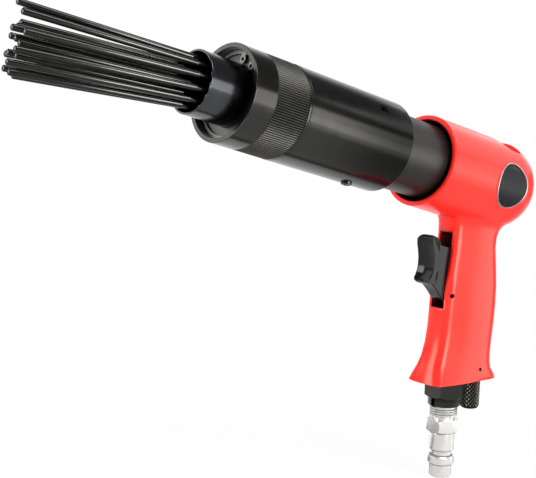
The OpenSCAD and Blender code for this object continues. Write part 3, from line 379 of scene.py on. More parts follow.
def paint_detail(shader):
    x, y, z = shader.axes(shader.place())
    cloud = noise(shader, PAINT_CLOUD)
    peel = noise(shader, PEEL_SCALE, detail=1.0)
    holes = hole_mask(x, z, PIVOT, PIVOT_HOLE_R * MM) + hole_mask(x, z, CROSS_PIN, CROSS_HOLE_R * MM)
    side = (y * y) < (SLOT_HALF * MM) ** 2
    tall = (z < AXIS_Z + SLOT_TOP * MM) * (z > AXIS_Z + SLOT_LOW * MM)
    deep = shader.ramp(x, MOUTH_X + SLOT_LIT * MM, MOUTH_X + SLOT_DARK * MM)
    slot = side * tall * deep * (x < MOUTH_X + SLOT_REAR * MM)
    up = z - AXIS_Z
    inside = (y * y + up * up) < (BORE_R * MM) ** 2
    within = shader.ramp(x, MOUTH_X + BORE_LIT * MM, MOUTH_X + BORE_DARK * MM)
    bore = inside * (x < MOUTH_X + BORE_END * MM) * within
    red = tinted(shader, cloud, PAINT_LOW, PAINT_HIGH)
    # slot, bore and cross holes are darkened as painted shade, the slot more the further in it goes
    shaded = tinted(shader, slot, red, SLOT_SHADE)
    hollow = tinted(shader, bore, shaded, BORE_SHADE)
    return {
        "Base Color": tinted(shader, holes, hollow, HOLE_SHADE),
        "Roughness": 0.19 + 0.08 * cloud,
        "Normal": bumped(shader, peel, PEEL_STRENGTH, PEEL_DEPTH),
    }


RED = finish("red_paint", (0.89, 0.022, 0.017), 0.0, paint_detail, shine=0.35, sheen=(1, 0.92, 0.72))
print("pivot", [round(v, 4) for v in PIVOT], "lower pin", [round(v, 4) for v in CROSS_PIN])

# %% [markdown]
# ## Blackened steel
# Barrel and collar are turned, then blackened in a hot bath. The lathe leaves fine rings, which stretch
# highlights, and the bath leaves faint clouds. The rings run round the barrel, so they only change along
# it: one-dimensional noise along X. Tube and cylinder are painted darker towards the casting, as painted
# shade, so that their reflections fade there. Screws, bushing and pins are fittings from a darker bath,
# and the nozzle comes from a paler, bluer one. The cylinder and the flange of the nozzle are phosphated,
# which leaves them duller, and the retaining ring is ground.

# %% Turned steel finishes
REAR_FROM, REAR_TO, REAR_SHADE_BLACK = -110.0, -38.0, (0.02, 0.02, 0.019)
RING_SCALE, RING_STRENGTH, RING_DEPTH, BATH_CLOUD = 2600.0, 0.06, 0.0002, 170


def lathe_detail(dark, light, smoothest=0.13, rear_shade=0.0):
    def detail(shader):
        along = shader.axes(shader.place())[0]
        lines = shader.node("TexNoise", {"noise_dimensions": "1D"}, W=along, Scale=RING_SCALE, Detail=2.0)
        rings = shader.out(lines, "Fac")
        cloud = noise(shader, BATH_CLOUD, detail=3.0)
        # painted shade: darker towards the casting, so the reflections of tube and cylinder fade there
        rear = rear_shade * shader.ramp(along, MOUTH_X + REAR_FROM * MM, MOUTH_X + REAR_TO * MM)
        return {
            "Base Color": tinted(shader, rear, tinted(shader, cloud, dark, light), REAR_SHADE_BLACK),
            "Roughness": smoothest + 0.05 * cloud + 0.06 * rings,
            "Normal": bumped(shader, rings, RING_STRENGTH, RING_DEPTH),
        }

    return detail


BLACKED = finish("blacked_steel", (0.09, 0.089, 0.084), 1.0,
                 lathe_detail((0.078, 0.077, 0.072), (0.102, 0.1, 0.095), rear_shade=0.95))
FITTING = finish("blacked_fitting", (0.065, 0.064, 0.059), 1.0,
                 lathe_detail((0.056, 0.055, 0.05), (0.074, 0.072, 0.067)))
DARK_TUBE = finish("dark_nozzle", (0.115, 0.12, 0.128), 1.0,
                   lathe_detail((0.1, 0.104, 0.111), (0.132, 0.137, 0.146)))
DULLED = finish("phosphated_steel", (0.1, 0.1, 0.095), 1.0,
                lathe_detail((0.088, 0.087, 0.082), (0.115, 0.113, 0.108), smoothest=0.36, rear_shade=0.4))
GROUND = finish("ground_steel", (0.18, 0.18, 0.175), 1.0,
                lathe_detail((0.15, 0.15, 0.145), (0.21, 0.21, 0.2), smoothest=0.3))
print("turned finishes", [m.name for m in (BLACKED, FITTING, DARK_TUBE, DULLED, GROUND)])

# %% [markdown]
# ## Worn and shaded knurls
# Hands polish the crests of a knurl pale, and its grooves are painted nearly black, as painted shade with
# some dirt. The finish measures how far a point is from the axis it was turned on: high points are pale,
# low points are nearly black. The same shader serves the collar, the leaning knob and the roots of the
# plug's thread, because a distance from a line is the length of a cross product.

# %% Knurl finishes
GROOVE_DIRT_AND_SHADE, WEAR_CLOUD = (0.022, 0.022, 0.019), 150
KNOB_OFF = -23.4


def knurl_detail(point, line, groove_r, crest_r, pale):
    def detail(shader):
        offset = shader.node("VectorMath", {"operation": "SUBTRACT"}, _0=shader.place(), _1=point)
        spread = shader.node("VectorMath", {"operation": "CROSS_PRODUCT"}, _0=shader.out(offset), _1=line)
        length = shader.node("VectorMath", {"operation": "LENGTH"}, _0=shader.out(spread))
        reach = shader.out(length, "Value")
        # pale crests are wear; the nearly black grooves are painted shade and dirt
        wear_and_shade = shader.ramp(reach, groove_r * MM, crest_r * MM)
        cloud = noise(shader, WEAR_CLOUD, detail=3.0)
        return {
            "Base Color": tinted(shader, wear_and_shade * (0.6 + 0.6 * cloud), GROOVE_DIRT_AND_SHADE, pale),
            "Roughness": 0.34 + 0.12 * cloud,
        }

    return detail


KNOB_FOOT = INLET @ Vector((KNOB_OFF * MM, 0, 0))
KNURLED = finish("knurled_collar", (0.1, 0.1, 0.09), 1.0,
                 knurl_detail(BARREL.translation, (1, 0, 0), groove_r=24.45, crest_r=24.95,
                              pale=(0.23, 0.225, 0.203)))
KNOBBED = finish("knurled_knob", (0.08, 0.08, 0.06), 1.0,
                 knurl_detail(KNOB_FOOT, INLET_DOWN, groove_r=5.35, crest_r=5.95,
                              pale=(0.2, 0.195, 0.155)))
# the roots of the thread are darkened as painted shade, the crests stay pale
THREADED = finish("plated_thread", (0.6, 0.6, 0.59), 0.75,
                  knurl_detail(INLET.translation, INLET_DOWN, groove_r=7.35, crest_r=8.1,
                               pale=(0.9, 0.9, 0.89)))
print("knob foot", [round(v, 4) for v in KNOB_FOOT])

# %% [markdown]
# ## Other finishes
# Drawn wire has patches of scale, plating is faintly mottled, moulded plastic has a soft sheen, and rubber
# is dull. Bare steel and the badge are plain. All share one pattern: a cloud that moves the colour and
# the roughness together.

# %% Clouded finishes
GRAIN_SCALE, GRAIN_DEPTH = 2500, 0.0002


def clouded(dark, light, rough, swing, scale=120, grain=0.0):
    def detail(shader):
        cloud = noise(shader, scale, detail=3.0)
        parts = {
            "Base Color": tinted(shader, cloud, dark, light),
            "Roughness": rough + swing * cloud,
        }
        if grain:
            parts["Normal"] = bumped(shader, noise(shader, GRAIN_SCALE, detail=1.0), grain, GRAIN_DEPTH)
        return parts

    return detail


WIRE = finish("needle_wire", (0.064, 0.064, 0.06), 1.0,
              clouded((0.054, 0.054, 0.051), (0.074, 0.073, 0.069), rough=0.2, swing=0.06))
BRIGHT = finish("bright_plating", (0.8, 0.8, 0.79), 0.75,
                clouded((0.77, 0.77, 0.76), (0.84, 0.84, 0.83), rough=0.2, swing=0.1, scale=200))
BARE = finish("bare_steel", (0.5, 0.5, 0.5), 1.0,
              clouded((0.40, 0.40, 0.41), (0.58, 0.58, 0.58), rough=0.25, swing=0.15, scale=150))
PLASTIC = finish("moulded_plastic", (0.007, 0.007, 0.007), 0.0,
                 clouded((0.004, 0.004, 0.004), (0.007, 0.007, 0.007), rough=0.1, swing=0.06, scale=80,
                         grain=0.04), shine=0.23)
BADGE = finish("blank_badge", (0.010, 0.010, 0.011), 0.0,
               clouded((0.008, 0.008, 0.009), (0.013, 0.013, 0.014), rough=0.22, swing=0.1, scale=90),
               shine=0.12)
RUBBER = finish("seal_rubber", (0.02, 0.02, 0.02), 0.0,
                clouded((0.015, 0.015, 0.015), (0.025, 0.025, 0.025), rough=0.55, swing=0.15, scale=80,
                        grain=0.1), shine=0.3)
print("finishes", len(bpy.data.materials))

# %% [markdown]
# ## Painted shade on the plug
# A plated plug stays bright on its faces, and a dark line of painted shade is laid in each corner where a
# step meets the next. The corners lie at known distances along the inlet axis, so each line is a narrow
# band of that distance.

# %% Plated plug
CORNERS, LINE, PLATE_CLOUD = (31.3, 42.8, 45.6, 51.2), 0.42, 200
PLATE_LOW, PLATE_HIGH, SHADE_TONE = (0.855, 0.845, 0.815), (0.92, 0.91, 0.88), (0.06, 0.055, 0.05)


def plug_detail(shader):
    offset = shader.node("VectorMath", {"operation": "SUBTRACT"}, _0=shader.place(), _1=INLET.translation)
    along = shader.node("VectorMath", {"operation": "DOT_PRODUCT"}, _0=shader.out(offset), _1=INLET_DOWN)
    reach = shader.out(along, "Value")
    # each corner of a step gets a dark line of painted shade
    corner_shade = 0
    for corner in CORNERS:
        off = reach - corner * MM
        corner_shade = corner_shade + shader.ramp(off * off, 0, (LINE * MM) ** 2, 1.0, 0.0)
    cloud = noise(shader, PLATE_CLOUD, detail=3.0)
    plated = tinted(shader, cloud, PLATE_LOW, PLATE_HIGH)
    return {
        "Base Color": tinted(shader, 0.8 * corner_shade, plated, SHADE_TONE),
        "Roughness": 0.2 + 0.1 * cloud + 0.3 * corner_shade,
    }


PLATED = finish("plated_plug", (0.8, 0.8, 0.79), 0.75, plug_detail)
print("lines of grime", len(CORNERS))

# %% [markdown]
# ## Pieces made from the solids
# A solid arrives as loose triangles. Where its shape is already right, a copy is merged so that it can be
# shaded smoothly, and edges sharper than an angle stay crisp. A new piece sits at the origin, as the
# solids do, rides on its body, hides the solid it stands for and takes its material slot.

# %% Piece helpers
SOLID_WELD = 2e-6


def add_piece(name, bm, material, body, stands_for=(), smooth=35.0):
    mesh = bpy.data.meshes.new(name)
    bm.to_mesh(mesh)
    bm.free()
    for face in mesh.polygons:
        face.use_smooth = True
    mesh.set_sharp_from_angle(angle=radians(smooth))
    mesh.materials.clear()
    mesh.materials.append(material)
    piece = bpy.data.objects.new(name, mesh)
    bpy.context.collection.objects.link(piece)
    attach(piece, body)
    if stands_for:
        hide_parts(*stands_for)
    return piece


def round_edges(piece, width, segments=2, angle=32.0):
    bevel = piece.modifiers.new("rounded_edges", "BEVEL")
    bevel.limit_method = "ANGLE"
    bevel.angle_limit = radians(angle)
    bevel.width = width
    bevel.segments = segments
    bevel.harden_normals = True


def merged_copy(node):
    bm = bmesh.new()
    bm.from_mesh(NODES[node].data)
    bmesh.ops.remove_doubles(bm, verts=bm.verts, dist=SOLID_WELD)
    return bm


def dress(node, material, smooth=35.0):
    bm = merged_copy(node)
    return add_piece(node + "_dressed", bm, material, BODY_OF[node], (node,), smooth)


# %% [markdown]
# ## True normals
# A solid with holes in it arrives as long thin triangles, and smooth shading would show every one of them
# in the gloss. Barrel, tube and cylinder are turned forms, though, and the true normal of a turned form
# is known at every point. So each corner of a face that lies on one of them is given that normal.

# %% True normals of turned forms
MOUTH_R, BODY_R, TAPER_FROM, TAPER_TO, DOME_X = 26.1, 26.4, 0.8, 30.0, 64.0
ON_FORM, SAME_WAY = 0.03, 0.97


def round_normal(point):
    """The direction away from the barrel axis."""
    return Vector((0, point.y, point.z - AXIS_Z)).normalized()


def barrel_normal(point):
    """The outward normal of the barrel of the casting at a point of it, or None off the barrel."""
    spot = (point - BARREL.translation) / MM
    if spot.x > DOME_X:
        arm = spot - Vector((DOME_X, 0, 0))
        return arm.normalized() if abs(arm.length - BODY_R) < ON_FORM else None
    share = min((spot.x - TAPER_FROM) / (TAPER_TO - TAPER_FROM), 1)
    radius = MOUTH_R + (BODY_R - MOUTH_R) * share
    return round_normal(point) if abs(hypot(spot.y, spot.z) - radius) < ON_FORM else None


def set_true_normals(piece, true_normal):
    mesh = piece.data
    normals = [corner.vector.copy() for corner in mesh.corner_normals]
    changed = 0
    for face in mesh.polygons:
        for corner in face.loop_indices:
            exact = true_normal(mesh.vertices[mesh.loops[corner].vertex_index].co)
            match = exact.dot(face.normal) if exact else 0
            if abs(match) > SAME_WAY:
                normals[corner] = exact if match > 0 else -exact
                changed += 1
    mesh.normals_split_custom_set(normals)
    return changed


casting = dress("grip_body", RED, smooth=40.0)
print("casting corners on the barrel", set_true_normals(casting, barrel_normal))

# %% [markdown]
# ## Rims of the cross holes
# Round the two cross holes the side of the grip is a fan of thin triangles, and each shows as a crease.
# The side is really smooth there, so a corner on the rim takes its normal from the corners round about,
# the nearest most.

# %% Smooth rims
RIM, ROUND_ABOUT, SIDEWAYS = 1.6 * MM, 15 * MM, 0.7


def smooth_rim(mesh, hole, side):
    normals = [corner.vector.copy() for corner in mesh.corner_normals]
    places = [mesh.vertices[loop.vertex_index].co for loop in mesh.loops]
    rim, around = [], []
    for face in mesh.polygons:
        if face.normal.y * side > SIDEWAYS:
            for corner in face.loop_indices:
                reach = hypot(places[corner].x - hole.x, places[corner].z - hole.z)
                if reach < RIM:
                    rim.append(corner)
                elif reach < ROUND_ABOUT:
                    around.append(corner)
    for corner in rim:
        pulls = [normals[other] / (places[other] - places[corner]).length_squared for other in around]
        normals[corner] = sum(pulls, Vector()).normalized()
    mesh.normals_split_custom_set(normals)
    return len(rim)


for hole in (PIVOT, CROSS_PIN):
    print("rim corners", [smooth_rim(casting.data, hole, side) for side in (-1, 1)])

# %% [markdown]
# ## Turning
# A lathe sweeps one outline round an axis, and the spin operator does the same. The outline is a list of
# distances along the axis and radii. It is closed, so the swept form is a closed shell.

# %% Turn a closed outline
BARREL_STEPS, PLUG_STEPS = 160, 96
SEAM_WELD = 1e-7


def turned(outline, steps, along="X"):
    """Sweep a closed outline of (distance, radius) pairs once round an axis."""
    bm = bmesh.new()
    if along == "X":
        verts = [bm.verts.new((a * MM, 0, r * MM)) for a, r in outline]
        axis = (1, 0, 0)
    else:
        verts = [bm.verts.new((r * MM, 0, a * MM)) for a, r in outline]
        axis = (0, 0, 1)
    edges = [bm.edges.new((verts[i - 1], verts[i])) for i in range(len(verts))]
    bmesh.ops.spin(bm, geom=verts + edges, cent=(0, 0, 0), axis=axis, angle=2 * pi, steps=steps,
                   use_merge=True)
    bmesh.ops.remove_doubles(bm, verts=bm.verts, dist=SEAM_WELD)
    bmesh.ops.recalc_face_normals(bm, faces=bm.faces)
    return bm


def arc(a, r, size, start, end, count=5):
    """Points on a quarter round about (a, r), angles in degrees from the axis."""
    turns = [radians(start + (end - start) * k / count) for k in range(count + 1)]
    return [(a + size * cos(t), r + size * sin(t)) for t in turns]


print("quarter round", [tuple(round(v, 2) for v in p) for p in arc(0, 0, 1, 90, 180, 2)])

# %% [markdown]
# ## The lip of the mouth
# The mouth of the casting is machined and then painted, which rounds its edge, and a thin line of light
# runs along it. A ring with two quarter rounds is laid over the edge, a few hundredths of a millimetre
# proud.

# %% Mouth lip
LIP_IN, PROUD, OUT_ROUND, IN_ROUND = 23.6, 0.05, 0.95, 0.55
LIP_FLAT, LIP_END, TUCK = 2.1, 2.4, 0.2
outer, inner = MOUTH_R + PROUD, LIP_IN - PROUD
lip = [(LIP_END, outer - TUCK), (LIP_FLAT, outer)]
lip += arc(OUT_ROUND - PROUD, outer - OUT_ROUND, OUT_ROUND, 90, 180)
lip += arc(IN_ROUND - PROUD, inner + IN_ROUND, IN_ROUND, 180, 270)
lip += [(LIP_FLAT, inner), (LIP_END, inner + TUCK)]
bm = turned(lip, BARREL_STEPS)
bm.transform(BARREL)
mouth_lip = add_piece("mouth_lip", bm, RED, "tool", (), smooth=60.0)
print("lip faces", len(mouth_lip.data.polygons))

# %% [markdown]
# ## Steel that is right as it is
# Housing, cylinder, screws, ring, bushing and pins have their real edge breaks in the solids, and so has
# the badge. They only need merging and a finish, and tube and cylinder their true normals. The nineteen
# needles are copies of their solids too, each on its own body.

# %% Dressed solids
for node in ("set_screws", "inlet_bushing", "trigger_pin", "regulator_pin"):
    dress(node, FITTING, smooth=20.0)
print("tube corners", set_true_normals(dress("housing_tube", BLACKED), round_normal))
print("cylinder corners", set_true_normals(dress("cylinder", DULLED), round_normal))
dress("retaining_ring", GROUND)
dress("badge_plate", BADGE)
dress("badge_rim", BARE)
needles = [node for node in NODES if node.startswith("needle_") and node != "needle_holder"]
for node in needles:
    dress(node, WIRE)
print("needles", len(needles))

# %% [markdown]
# ## The front collar
# The collar is turned from bar: a flat face with a deep recess for the nozzle, a groove for the retaining
# ring, and a lower band for the knurl. Its edges are broken by a small bevel, because a real edge always
# catches a line of light, and hardened normals keep the long faces straight in the reflections.

# %% Collar
low, high = corners("front_collar")
COLLAR_R = (high.z - low.z) / 2 / MM
FACE_X = (low.x - MOUTH_X) / MM
REAR_X = (high.x - MOUTH_X) / MM
KNURL_FROM, KNURL_TO, KNURL_SINK = FACE_X + 13.9, REAR_X - 1.5, 0.65
RECESS_R, GROOVE_R, THREAD_R, PASS_R, COLLAR_EDGE = 22.4, 23.3, 23.05, 16.0, 0.3
RING_FROM, RING_TO, WALL_FROM, WALL_TO = FACE_X + 4.1, FACE_X + 5.8, FACE_X + 9.3, FACE_X + 12.5
outside = [(FACE_X, COLLAR_R), (KNURL_FROM, COLLAR_R), (KNURL_FROM, COLLAR_R - KNURL_SINK),
           (KNURL_TO, COLLAR_R - KNURL_SINK), (KNURL_TO, COLLAR_R), (REAR_X, COLLAR_R)]
inside = [(REAR_X, THREAD_R), (WALL_TO, THREAD_R), (WALL_TO, PASS_R), (WALL_FROM, PASS_R),
          (WALL_FROM, RECESS_R), (RING_TO, RECESS_R), (RING_TO, GROOVE_R), (RING_FROM, GROOVE_R),
          (RING_FROM, RECESS_R), (FACE_X, RECESS_R)]
bm = turned(outside + inside, BARREL_STEPS)
bm.transform(BARREL)
collar = add_piece("collar_turned", bm, BLACKED, "tool", ("front_collar",))
round_edges(collar, COLLAR_EDGE * MM)
print("collar", round(FACE_X, 1), "to", round(REAR_X, 1), "radius", round(COLLAR_R, 2))

# %% [markdown]
# ## The rolled knurl
# Two hardened wheels press straight ridges into the band. Ridges this size could be a bump, but a bump
# has no edge against the light, so they are real: a band is turned with two steps for each ridge, and
# every second row of points is pulled in.

# %% Collar knurl
RIDGES, RIDGE, RIDGE_BELOW, RIDGE_SLOPE, ON_CREST = 124, 0.5, 0.03, 0.35, 0.1
crest = COLLAR_R - RIDGE_BELOW
foot = crest - KNURL_SINK
band = [(KNURL_FROM, foot), (KNURL_FROM + RIDGE_SLOPE, crest),
        (KNURL_TO - RIDGE_SLOPE, crest), (KNURL_TO, foot)]
bm = turned(band, 2 * RIDGES)
for vert in bm.verts:
    step = round(atan2(vert.co.y, vert.co.z) / pi * RIDGES)
    reach = hypot(vert.co.y, vert.co.z)
    if step % 2 and reach > (crest - ON_CREST) * MM:
        shrink = 1 - RIDGE * MM / reach
        vert.co.y *= shrink
        vert.co.z *= shrink
bm.transform(BARREL)
add_piece("collar_knurl", bm, KNURLED, "tool", (), smooth=15.0)
print("ridges", RIDGES, "pitch", round(2 * pi * crest / RIDGES, 2), "mm")

# %% [markdown]
# ## The nozzle
# The nozzle is a thin tube with a flange that the retaining ring holds in the collar. Tube and flange are
# turned as two rings, because the flange is phosphated and duller than the tube.

# %% Nozzle and flange
low, high = corners("nozzle")
RIM_X = (low.x - MOUTH_X) / MM
SEAT_X = (high.x - MOUTH_X) / MM
TUBE_R, TUBE_BORE_R, FLANGE_R, FLANGE = 15.9, 14.8, 22.2, 3.4
RIM_EDGE, FLANGE_EDGE = 0.35, 0.2
tube = [(RIM_X, TUBE_BORE_R), (RIM_X, TUBE_R), (SEAT_X, TUBE_R), (SEAT_X, TUBE_BORE_R)]
bm = turned(tube, BARREL_STEPS)
bm.transform(BARREL)
nozzle = add_piece("nozzle_turned", bm, DARK_TUBE, "tool", ("nozzle",))
round_edges(nozzle, RIM_EDGE * MM, segments=3)
flange = [(SEAT_X - FLANGE, TUBE_R), (SEAT_X - FLANGE, FLANGE_R), (SEAT_X, FLANGE_R), (SEAT_X, TUBE_R)]
bm = turned(flange, BARREL_STEPS)
bm.transform(BARREL)
nozzle_flange = add_piece("nozzle_flange", bm, DULLED, "tool", ())
round_edges(nozzle_flange, FLANGE_EDGE * MM)
print("nozzle", round(RIM_X, 1), "to", round(SEAT_X, 1))

# %% [markdown]
# ## The regulator knob
# A small knob needs more bite than straight lines give, so it has a diamond knurl: two sets of slanting
# grooves that leave rows of little pyramids. A fine grid is turned, every second point of it is pushed
# out, row by row, and the points left behind are joined across each face, so that the grooves cross.

# %% Knob
ROUND, ROWS, BITE = 32, 14, 0.62
KNOB_R, KNOB_FROM, KNOB_TO, STEM_R, STEM_TOP = 6.0, 1.0, 20.5, 3.0, -9.8
ROWS_FROM, ROWS_TO, ON_GROOVE = KNOB_FROM + 0.7, KNOB_TO - 1.0, 0.01
SHOULDER_IN, CHAMFER_IN, CHAMFER_FROM, TIP_IN = 0.4, 0.5, KNOB_TO - 0.4, 1.5
low_r = KNOB_R - BITE
rows = [ROWS_FROM + (ROWS_TO - ROWS_FROM) * row / ROWS for row in range(ROWS + 1)]
knob_line = [(STEM_TOP, 0.0), (STEM_TOP, STEM_R), (KNOB_FROM, STEM_R), (KNOB_FROM, low_r - SHOULDER_IN)]
knob_line += [(a, low_r) for a in rows]
knob_line += [(CHAMFER_FROM, low_r - CHAMFER_IN), (KNOB_TO, low_r - TIP_IN), (KNOB_TO, 0.0)]
bm = turned(knob_line, ROUND, "Z")
grooves = []
for vert in bm.verts:
    reach = hypot(vert.co.x, vert.co.y) / MM
    row = (vert.co.z / MM - rows[0]) / (rows[-1] - rows[0]) * ROWS
    step = round(atan2(vert.co.y, vert.co.x) / (2 * pi) * ROUND)
    if abs(reach - low_r) > ON_GROOVE:
        continue
    if 0.5 < row < ROWS - 0.5 and (round(row) + step) % 2:
        vert.co.x *= KNOB_R / reach
        vert.co.y *= KNOB_R / reach
    else:
        grooves.append(vert)
bmesh.ops.connect_verts(bm, verts=grooves)
bm.transform(INLET @ Matrix.Translation((KNOB_OFF * MM, 0, 0)))
add_piece("knob_knurled", bm, KNOBBED, "regulator", ("regulator_knob",),
          smooth=12.0)
print("groove crossings", len(grooves))

# %% [markdown]
# ## The air plug
# The plug is turned, milled to a hexagon and threaded. The turned form is one outline with its ball
# groove, collar and tip. Its edges get a small bevel.

# %% Turned plug
PLUG = [(10, 4.4), (10, 6.9), (15.6, 6.9), (15.6, 7.42), (21.8, 7.42), (21.8, 6.6), (31.2, 6.6),
        (31.2, 6.9), (32.2, 7.6), (41.7, 7.6), (42.7, 6.6), (42.9, 6.1), (45.5, 6.1), (45.7, 6.8),
        (46.7, 7.8), (50.1, 7.8), (51.1, 6.8), (51.3, 6.6), (57.9, 6.6), (58.7, 5.8), (58.7, 4.4)]
PLUG_EDGE = 0.14
bm = turned(PLUG, PLUG_STEPS, "Z")
bm.transform(INLET)
plug = add_piece("plug_turned", bm, PLATED, "tool", ("air_plug",), smooth=24.0)
round_edges(plug, PLUG_EDGE * MM, angle=24.0)
print("plug length", PLUG[-1][0] - PLUG[0][0], "mm")

# %% [markdown]
# ## The hexagon
# A hexagon bar is chamfered on the lathe before it is milled, and that is why its corners end in round
# scallops. Here the chamfered round comes first, and then each point outside the six flats is pulled in
# to them.

# %% Hexagon of the plug
FLAT, CHAMFER, HEX_FROM, HEX_TO, HEX_BORE_R = 8.65, 1.2, 23.3, 31.3, 6.3
CHAMFER_STEPS, FLAT_OVER, FLAT_WELD = 6, 0.1, 1e-6
CORNER = FLAT / cos(pi / 6)
shares = [k / CHAMFER_STEPS for k in range(CHAMFER_STEPS + 1)]
grow = [(HEX_FROM + CHAMFER * share, FLAT + FLAT_OVER + (CORNER - FLAT) * share) for share in shares]
shrink = [(HEX_TO + HEX_FROM - a, r) for a, r in reversed(grow)]
bm = turned([(HEX_FROM, HEX_BORE_R)] + grow + shrink + [(HEX_TO, HEX_BORE_R)], PLUG_STEPS, "Z")
for vert in bm.verts:
    around = atan2(vert.co.y, vert.co.x)
    off_flat = (around + pi / 6) % (pi / 3) - pi / 6
    limit = FLAT / cos(off_flat) * MM
    reach = hypot(vert.co.x, vert.co.y)
    if reach > limit:
        vert.co.x *= limit / reach
        vert.co.y *= limit / reach
bmesh.ops.remove_doubles(bm, verts=bm.verts, dist=FLAT_WELD)
bmesh.ops.recalc_face_normals(bm, faces=bm.faces)
bm.transform(INLET)
add_piece("plug_hexagon", bm, PLATED, "tool", (), smooth=22.0)
print("across corners", round(2 * CORNER, 1), "mm")

# %% [markdown]
# ## The thread
# A thread is a tooth swept along a screw line. The spin operator makes one when each step also climbs a
# little, so the part of the thread that shows between bushing and hexagon is a true helix.

# %% Thread of the plug
PITCH, TURNS, PER_TURN = 1.55, 3.6, 56
tooth = [(7.36, 15.7), (8.28, 16.25), (8.28, 16.45), (7.36, 17.0)]
bm = bmesh.new()
verts = [bm.verts.new((r * MM, 0, a * MM)) for r, a in tooth]
start = bm.faces.new(verts)
bmesh.ops.spin(bm, geom=[start], cent=(0, 0, 0), axis=(0, 0, 1), dvec=(0, 0, PITCH / PER_TURN * MM),
               angle=2 * pi * TURNS, steps=int(TURNS * PER_TURN))
bmesh.ops.recalc_face_normals(bm, faces=bm.faces)
bm.transform(INLET)
thread = add_piece("plug_thread", bm, THREADED, "tool", (), smooth=28.0)
print("thread turns", TURNS, "faces", len(thread.data.polygons))

# %% [markdown]
# ## The trigger
# The trigger is moulded: a finger pad, hollowed along and across so a finger settles in it, on a narrow
# web that swings in the slot. The side outline of the pad is extruded across in slices. Towards the round
# ends the slices draw in, and between its edges the front is drawn back, so the finger finds a hollow.

# %% Outline and slices
PAD = [(-23.5, 28.4), (-22.7, 25.6), (-21.1, 22.6), (-19.4, 18.6), (-18.5, 14.6), (-18.3, 11.1),
       (-18.8, 8.1), (-19.5, 6.2), (-19.4, 4.8), (-18.2, 3.8), (-15.8, 3.5), (-13.2, 4.2), (-13.8, 8.6),
       (-14.4, 13.6), (-15.2, 18.6), (-16, 22.6), (-16.4, 26.6), (-16.8, 29), (-18, 30.8), (-20, 31.8),
       (-22, 31.4), (-23.2, 30.1)]
WEB = [(-16.5, 27.4), (4.1, 27.4), (4.7, 26.8), (4.7, 0), (4.3, -1.6), (2.8, -3.6), (0, -4.4), (-2.4, -3.8),
       (-5.5, -1.8), (-9, 0.7), (-12.2, 2.6), (-15.6, 4)]
PAD_HALF, PAD_TOP, PAD_LOW, TOP_ROUND, LOW_ROUND = 6.4, 31.8, 3.5, 4.6, 2.6
HOLLOW, WEB_HALF, PAD_EDGE, WEB_EDGE = 0.9, 4.32, 1.1, 0.5
FRONT = {(round(x, 3), round(z, 3)) for x, z in PAD[1:8]}


def sliced(outline, shares):
    """Extrude a side outline across, from the first share of the half width to the last."""
    bm = bmesh.new()
    face = bm.faces.new([bm.verts.new((x, shares[0], z)) for x, z in outline])
    for near, far in zip(shares, shares[1:]):
        grown = bmesh.ops.extrude_face_region(bm, geom=[face])["geom"]
        if near != shares[0]:
            bmesh.ops.delete(bm, geom=[face], context="FACES_ONLY")
        moved = [v for v in grown if isinstance(v, bmesh.types.BMVert)]
        bmesh.ops.translate(bm, verts=moved, vec=(0, far - near, 0))
        face = [f for f in grown if isinstance(f, bmesh.types.BMFace)][0]
    bmesh.ops.recalc_face_normals(bm, faces=bm.faces)
    return bm


def pad_half(z):
    """Half the width of the pad at a height, less near its round ends."""
    high = min(max(z - PAD_TOP + TOP_ROUND, 0), TOP_ROUND)
    low = min(max(PAD_LOW + LOW_ROUND - z, 0), LOW_ROUND)
    top_in = TOP_ROUND - (TOP_ROUND ** 2 - high ** 2) ** 0.5
    low_in = LOW_ROUND - (LOW_ROUND ** 2 - low ** 2) ** 0.5
    return PAD_HALF - top_in - low_in


print("pad half width in the middle", round(pad_half(16), 2))

# %% [markdown]
# ## Pad and web
# Both are placed on the trigger's own pivot, in the frame of the joint, so they swing with it. A wider
# bevel gives the pad its moulded roundness.

# %% Pad and web
bm = sliced(PAD, (-1, -0.8, -0.5, -0.2, 0.2, 0.5, 0.8, 1))
for vert in bm.verts:
    share = vert.co.y
    if (round(vert.co.x, 3), round(vert.co.z, 3)) in FRONT:
        vert.co.x += HOLLOW * (1 - share * share)
    vert.co.y = share * pad_half(vert.co.z)
bm.transform(Matrix.Translation(PIVOT) @ Matrix.Scale(MM, 4))
pad = add_piece("trigger_pad", bm, PLASTIC, "trigger", ("trigger",), smooth=50.0)
round_edges(pad, PAD_EDGE * MM, segments=4, angle=45.0)
bm = sliced(WEB, (-WEB_HALF, WEB_HALF))
bm.transform(Matrix.Translation(PIVOT) @ Matrix.Scale(MM, 4))
web = add_piece("trigger_web", bm, PLASTIC, "trigger", (), smooth=50.0)
round_edges(web, WEB_EDGE * MM, segments=3, angle=45.0)
print("pad faces", len(pad.data.polygons), "web faces", len(web.data.polygons))
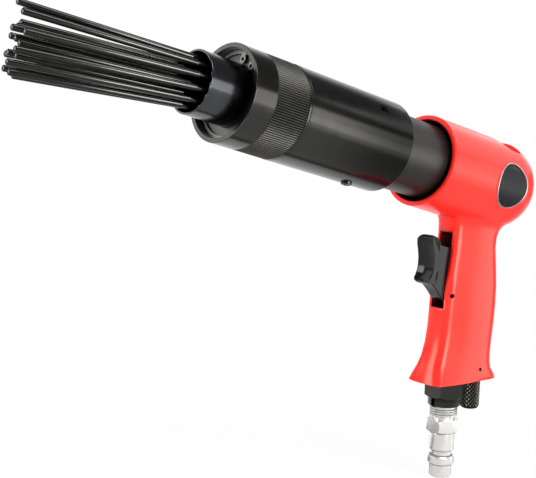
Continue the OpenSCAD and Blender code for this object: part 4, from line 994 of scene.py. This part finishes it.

# %% [markdown]
# ## The springs
# Both springs are out of sight, but they move: the return spring is pressed by the needle holder, the
# throttle spring by the stem. Each is a round wire swept along a screw line.

# %% Springs
def wound(node, wire, turns, sides=10, per_turn=36):
    """A coil of round wire along X that fills the box of a spring's solid."""
    low, high = corners(node)
    mean = (high.z - low.z) / 2 - wire * MM
    rise = (high.x - low.x - 2 * wire * MM) / turns
    bm = bmesh.new()
    ring = bmesh.ops.create_circle(bm, cap_ends=True, segments=sides, radius=wire * MM)["verts"]
    bmesh.ops.rotate(bm, verts=ring, cent=(0, 0, 0), matrix=Matrix.Rotation(pi / 2, 3, "X"))
    bmesh.ops.translate(bm, verts=ring, vec=(low.x + wire * MM, 0, mean))
    bmesh.ops.spin(bm, geom=list(bm.faces), cent=(0, 0, 0), axis=(1, 0, 0), dvec=(rise / per_turn, 0, 0),
                   angle=2 * pi * turns, steps=ceil(turns * per_turn))
    bmesh.ops.recalc_face_normals(bm, faces=bm.faces)
    bmesh.ops.translate(bm, verts=bm.verts, vec=(0, 0, (low.z + high.z) / 2))
    return add_piece(node + "_wound", bm, BARE, "tool", (node,), smooth=40.0)


coil = wound("return_spring", wire=1.25, turns=6.5)
low, high = corners("return_spring")
print("return spring", round((high.x - low.x) / MM, 1), "mm long")
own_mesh(coil)
fine = wound("throttle_spring", wire=0.35, turns=6.0)
low, high = corners("throttle_spring")
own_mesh(fine)
print("throttle spring", round((high.x - low.x) / MM, 1), "mm long")

# %% [markdown]
# ## Inner pieces
# Piston, anvil, valve, bushes and seals only show when the tool is taken apart, so they keep their solids
# and get bare steel or rubber. The inlet screen is plated like the plug it sits in.

# %% Finishes for the inner pieces
INNER = {
    RUBBER: ("cylinder_seal", "throttle_seal", "regulator_seal"),
    BARE: ("valve_seat", "valve_disc", "valve_cap", "piston", "anvil", "needle_holder", "throttle_bush",
           "throttle_stem", "regulator_bush"),
    BRIGHT: ("inlet_screen",),
}
for material, nodes in INNER.items():
    for node in nodes:
        NODES[node].material_slots[0].material = material
print("inner pieces", sum(len(nodes) for nodes in INNER.values()))

# %% [markdown]
# ## Sizes
# Last, the box of the dressed tool is printed, like the box of the solids at the start.

# %% Sizes, and the end
low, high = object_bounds()
print("visual box", [round(v, 4) for v in high - low])
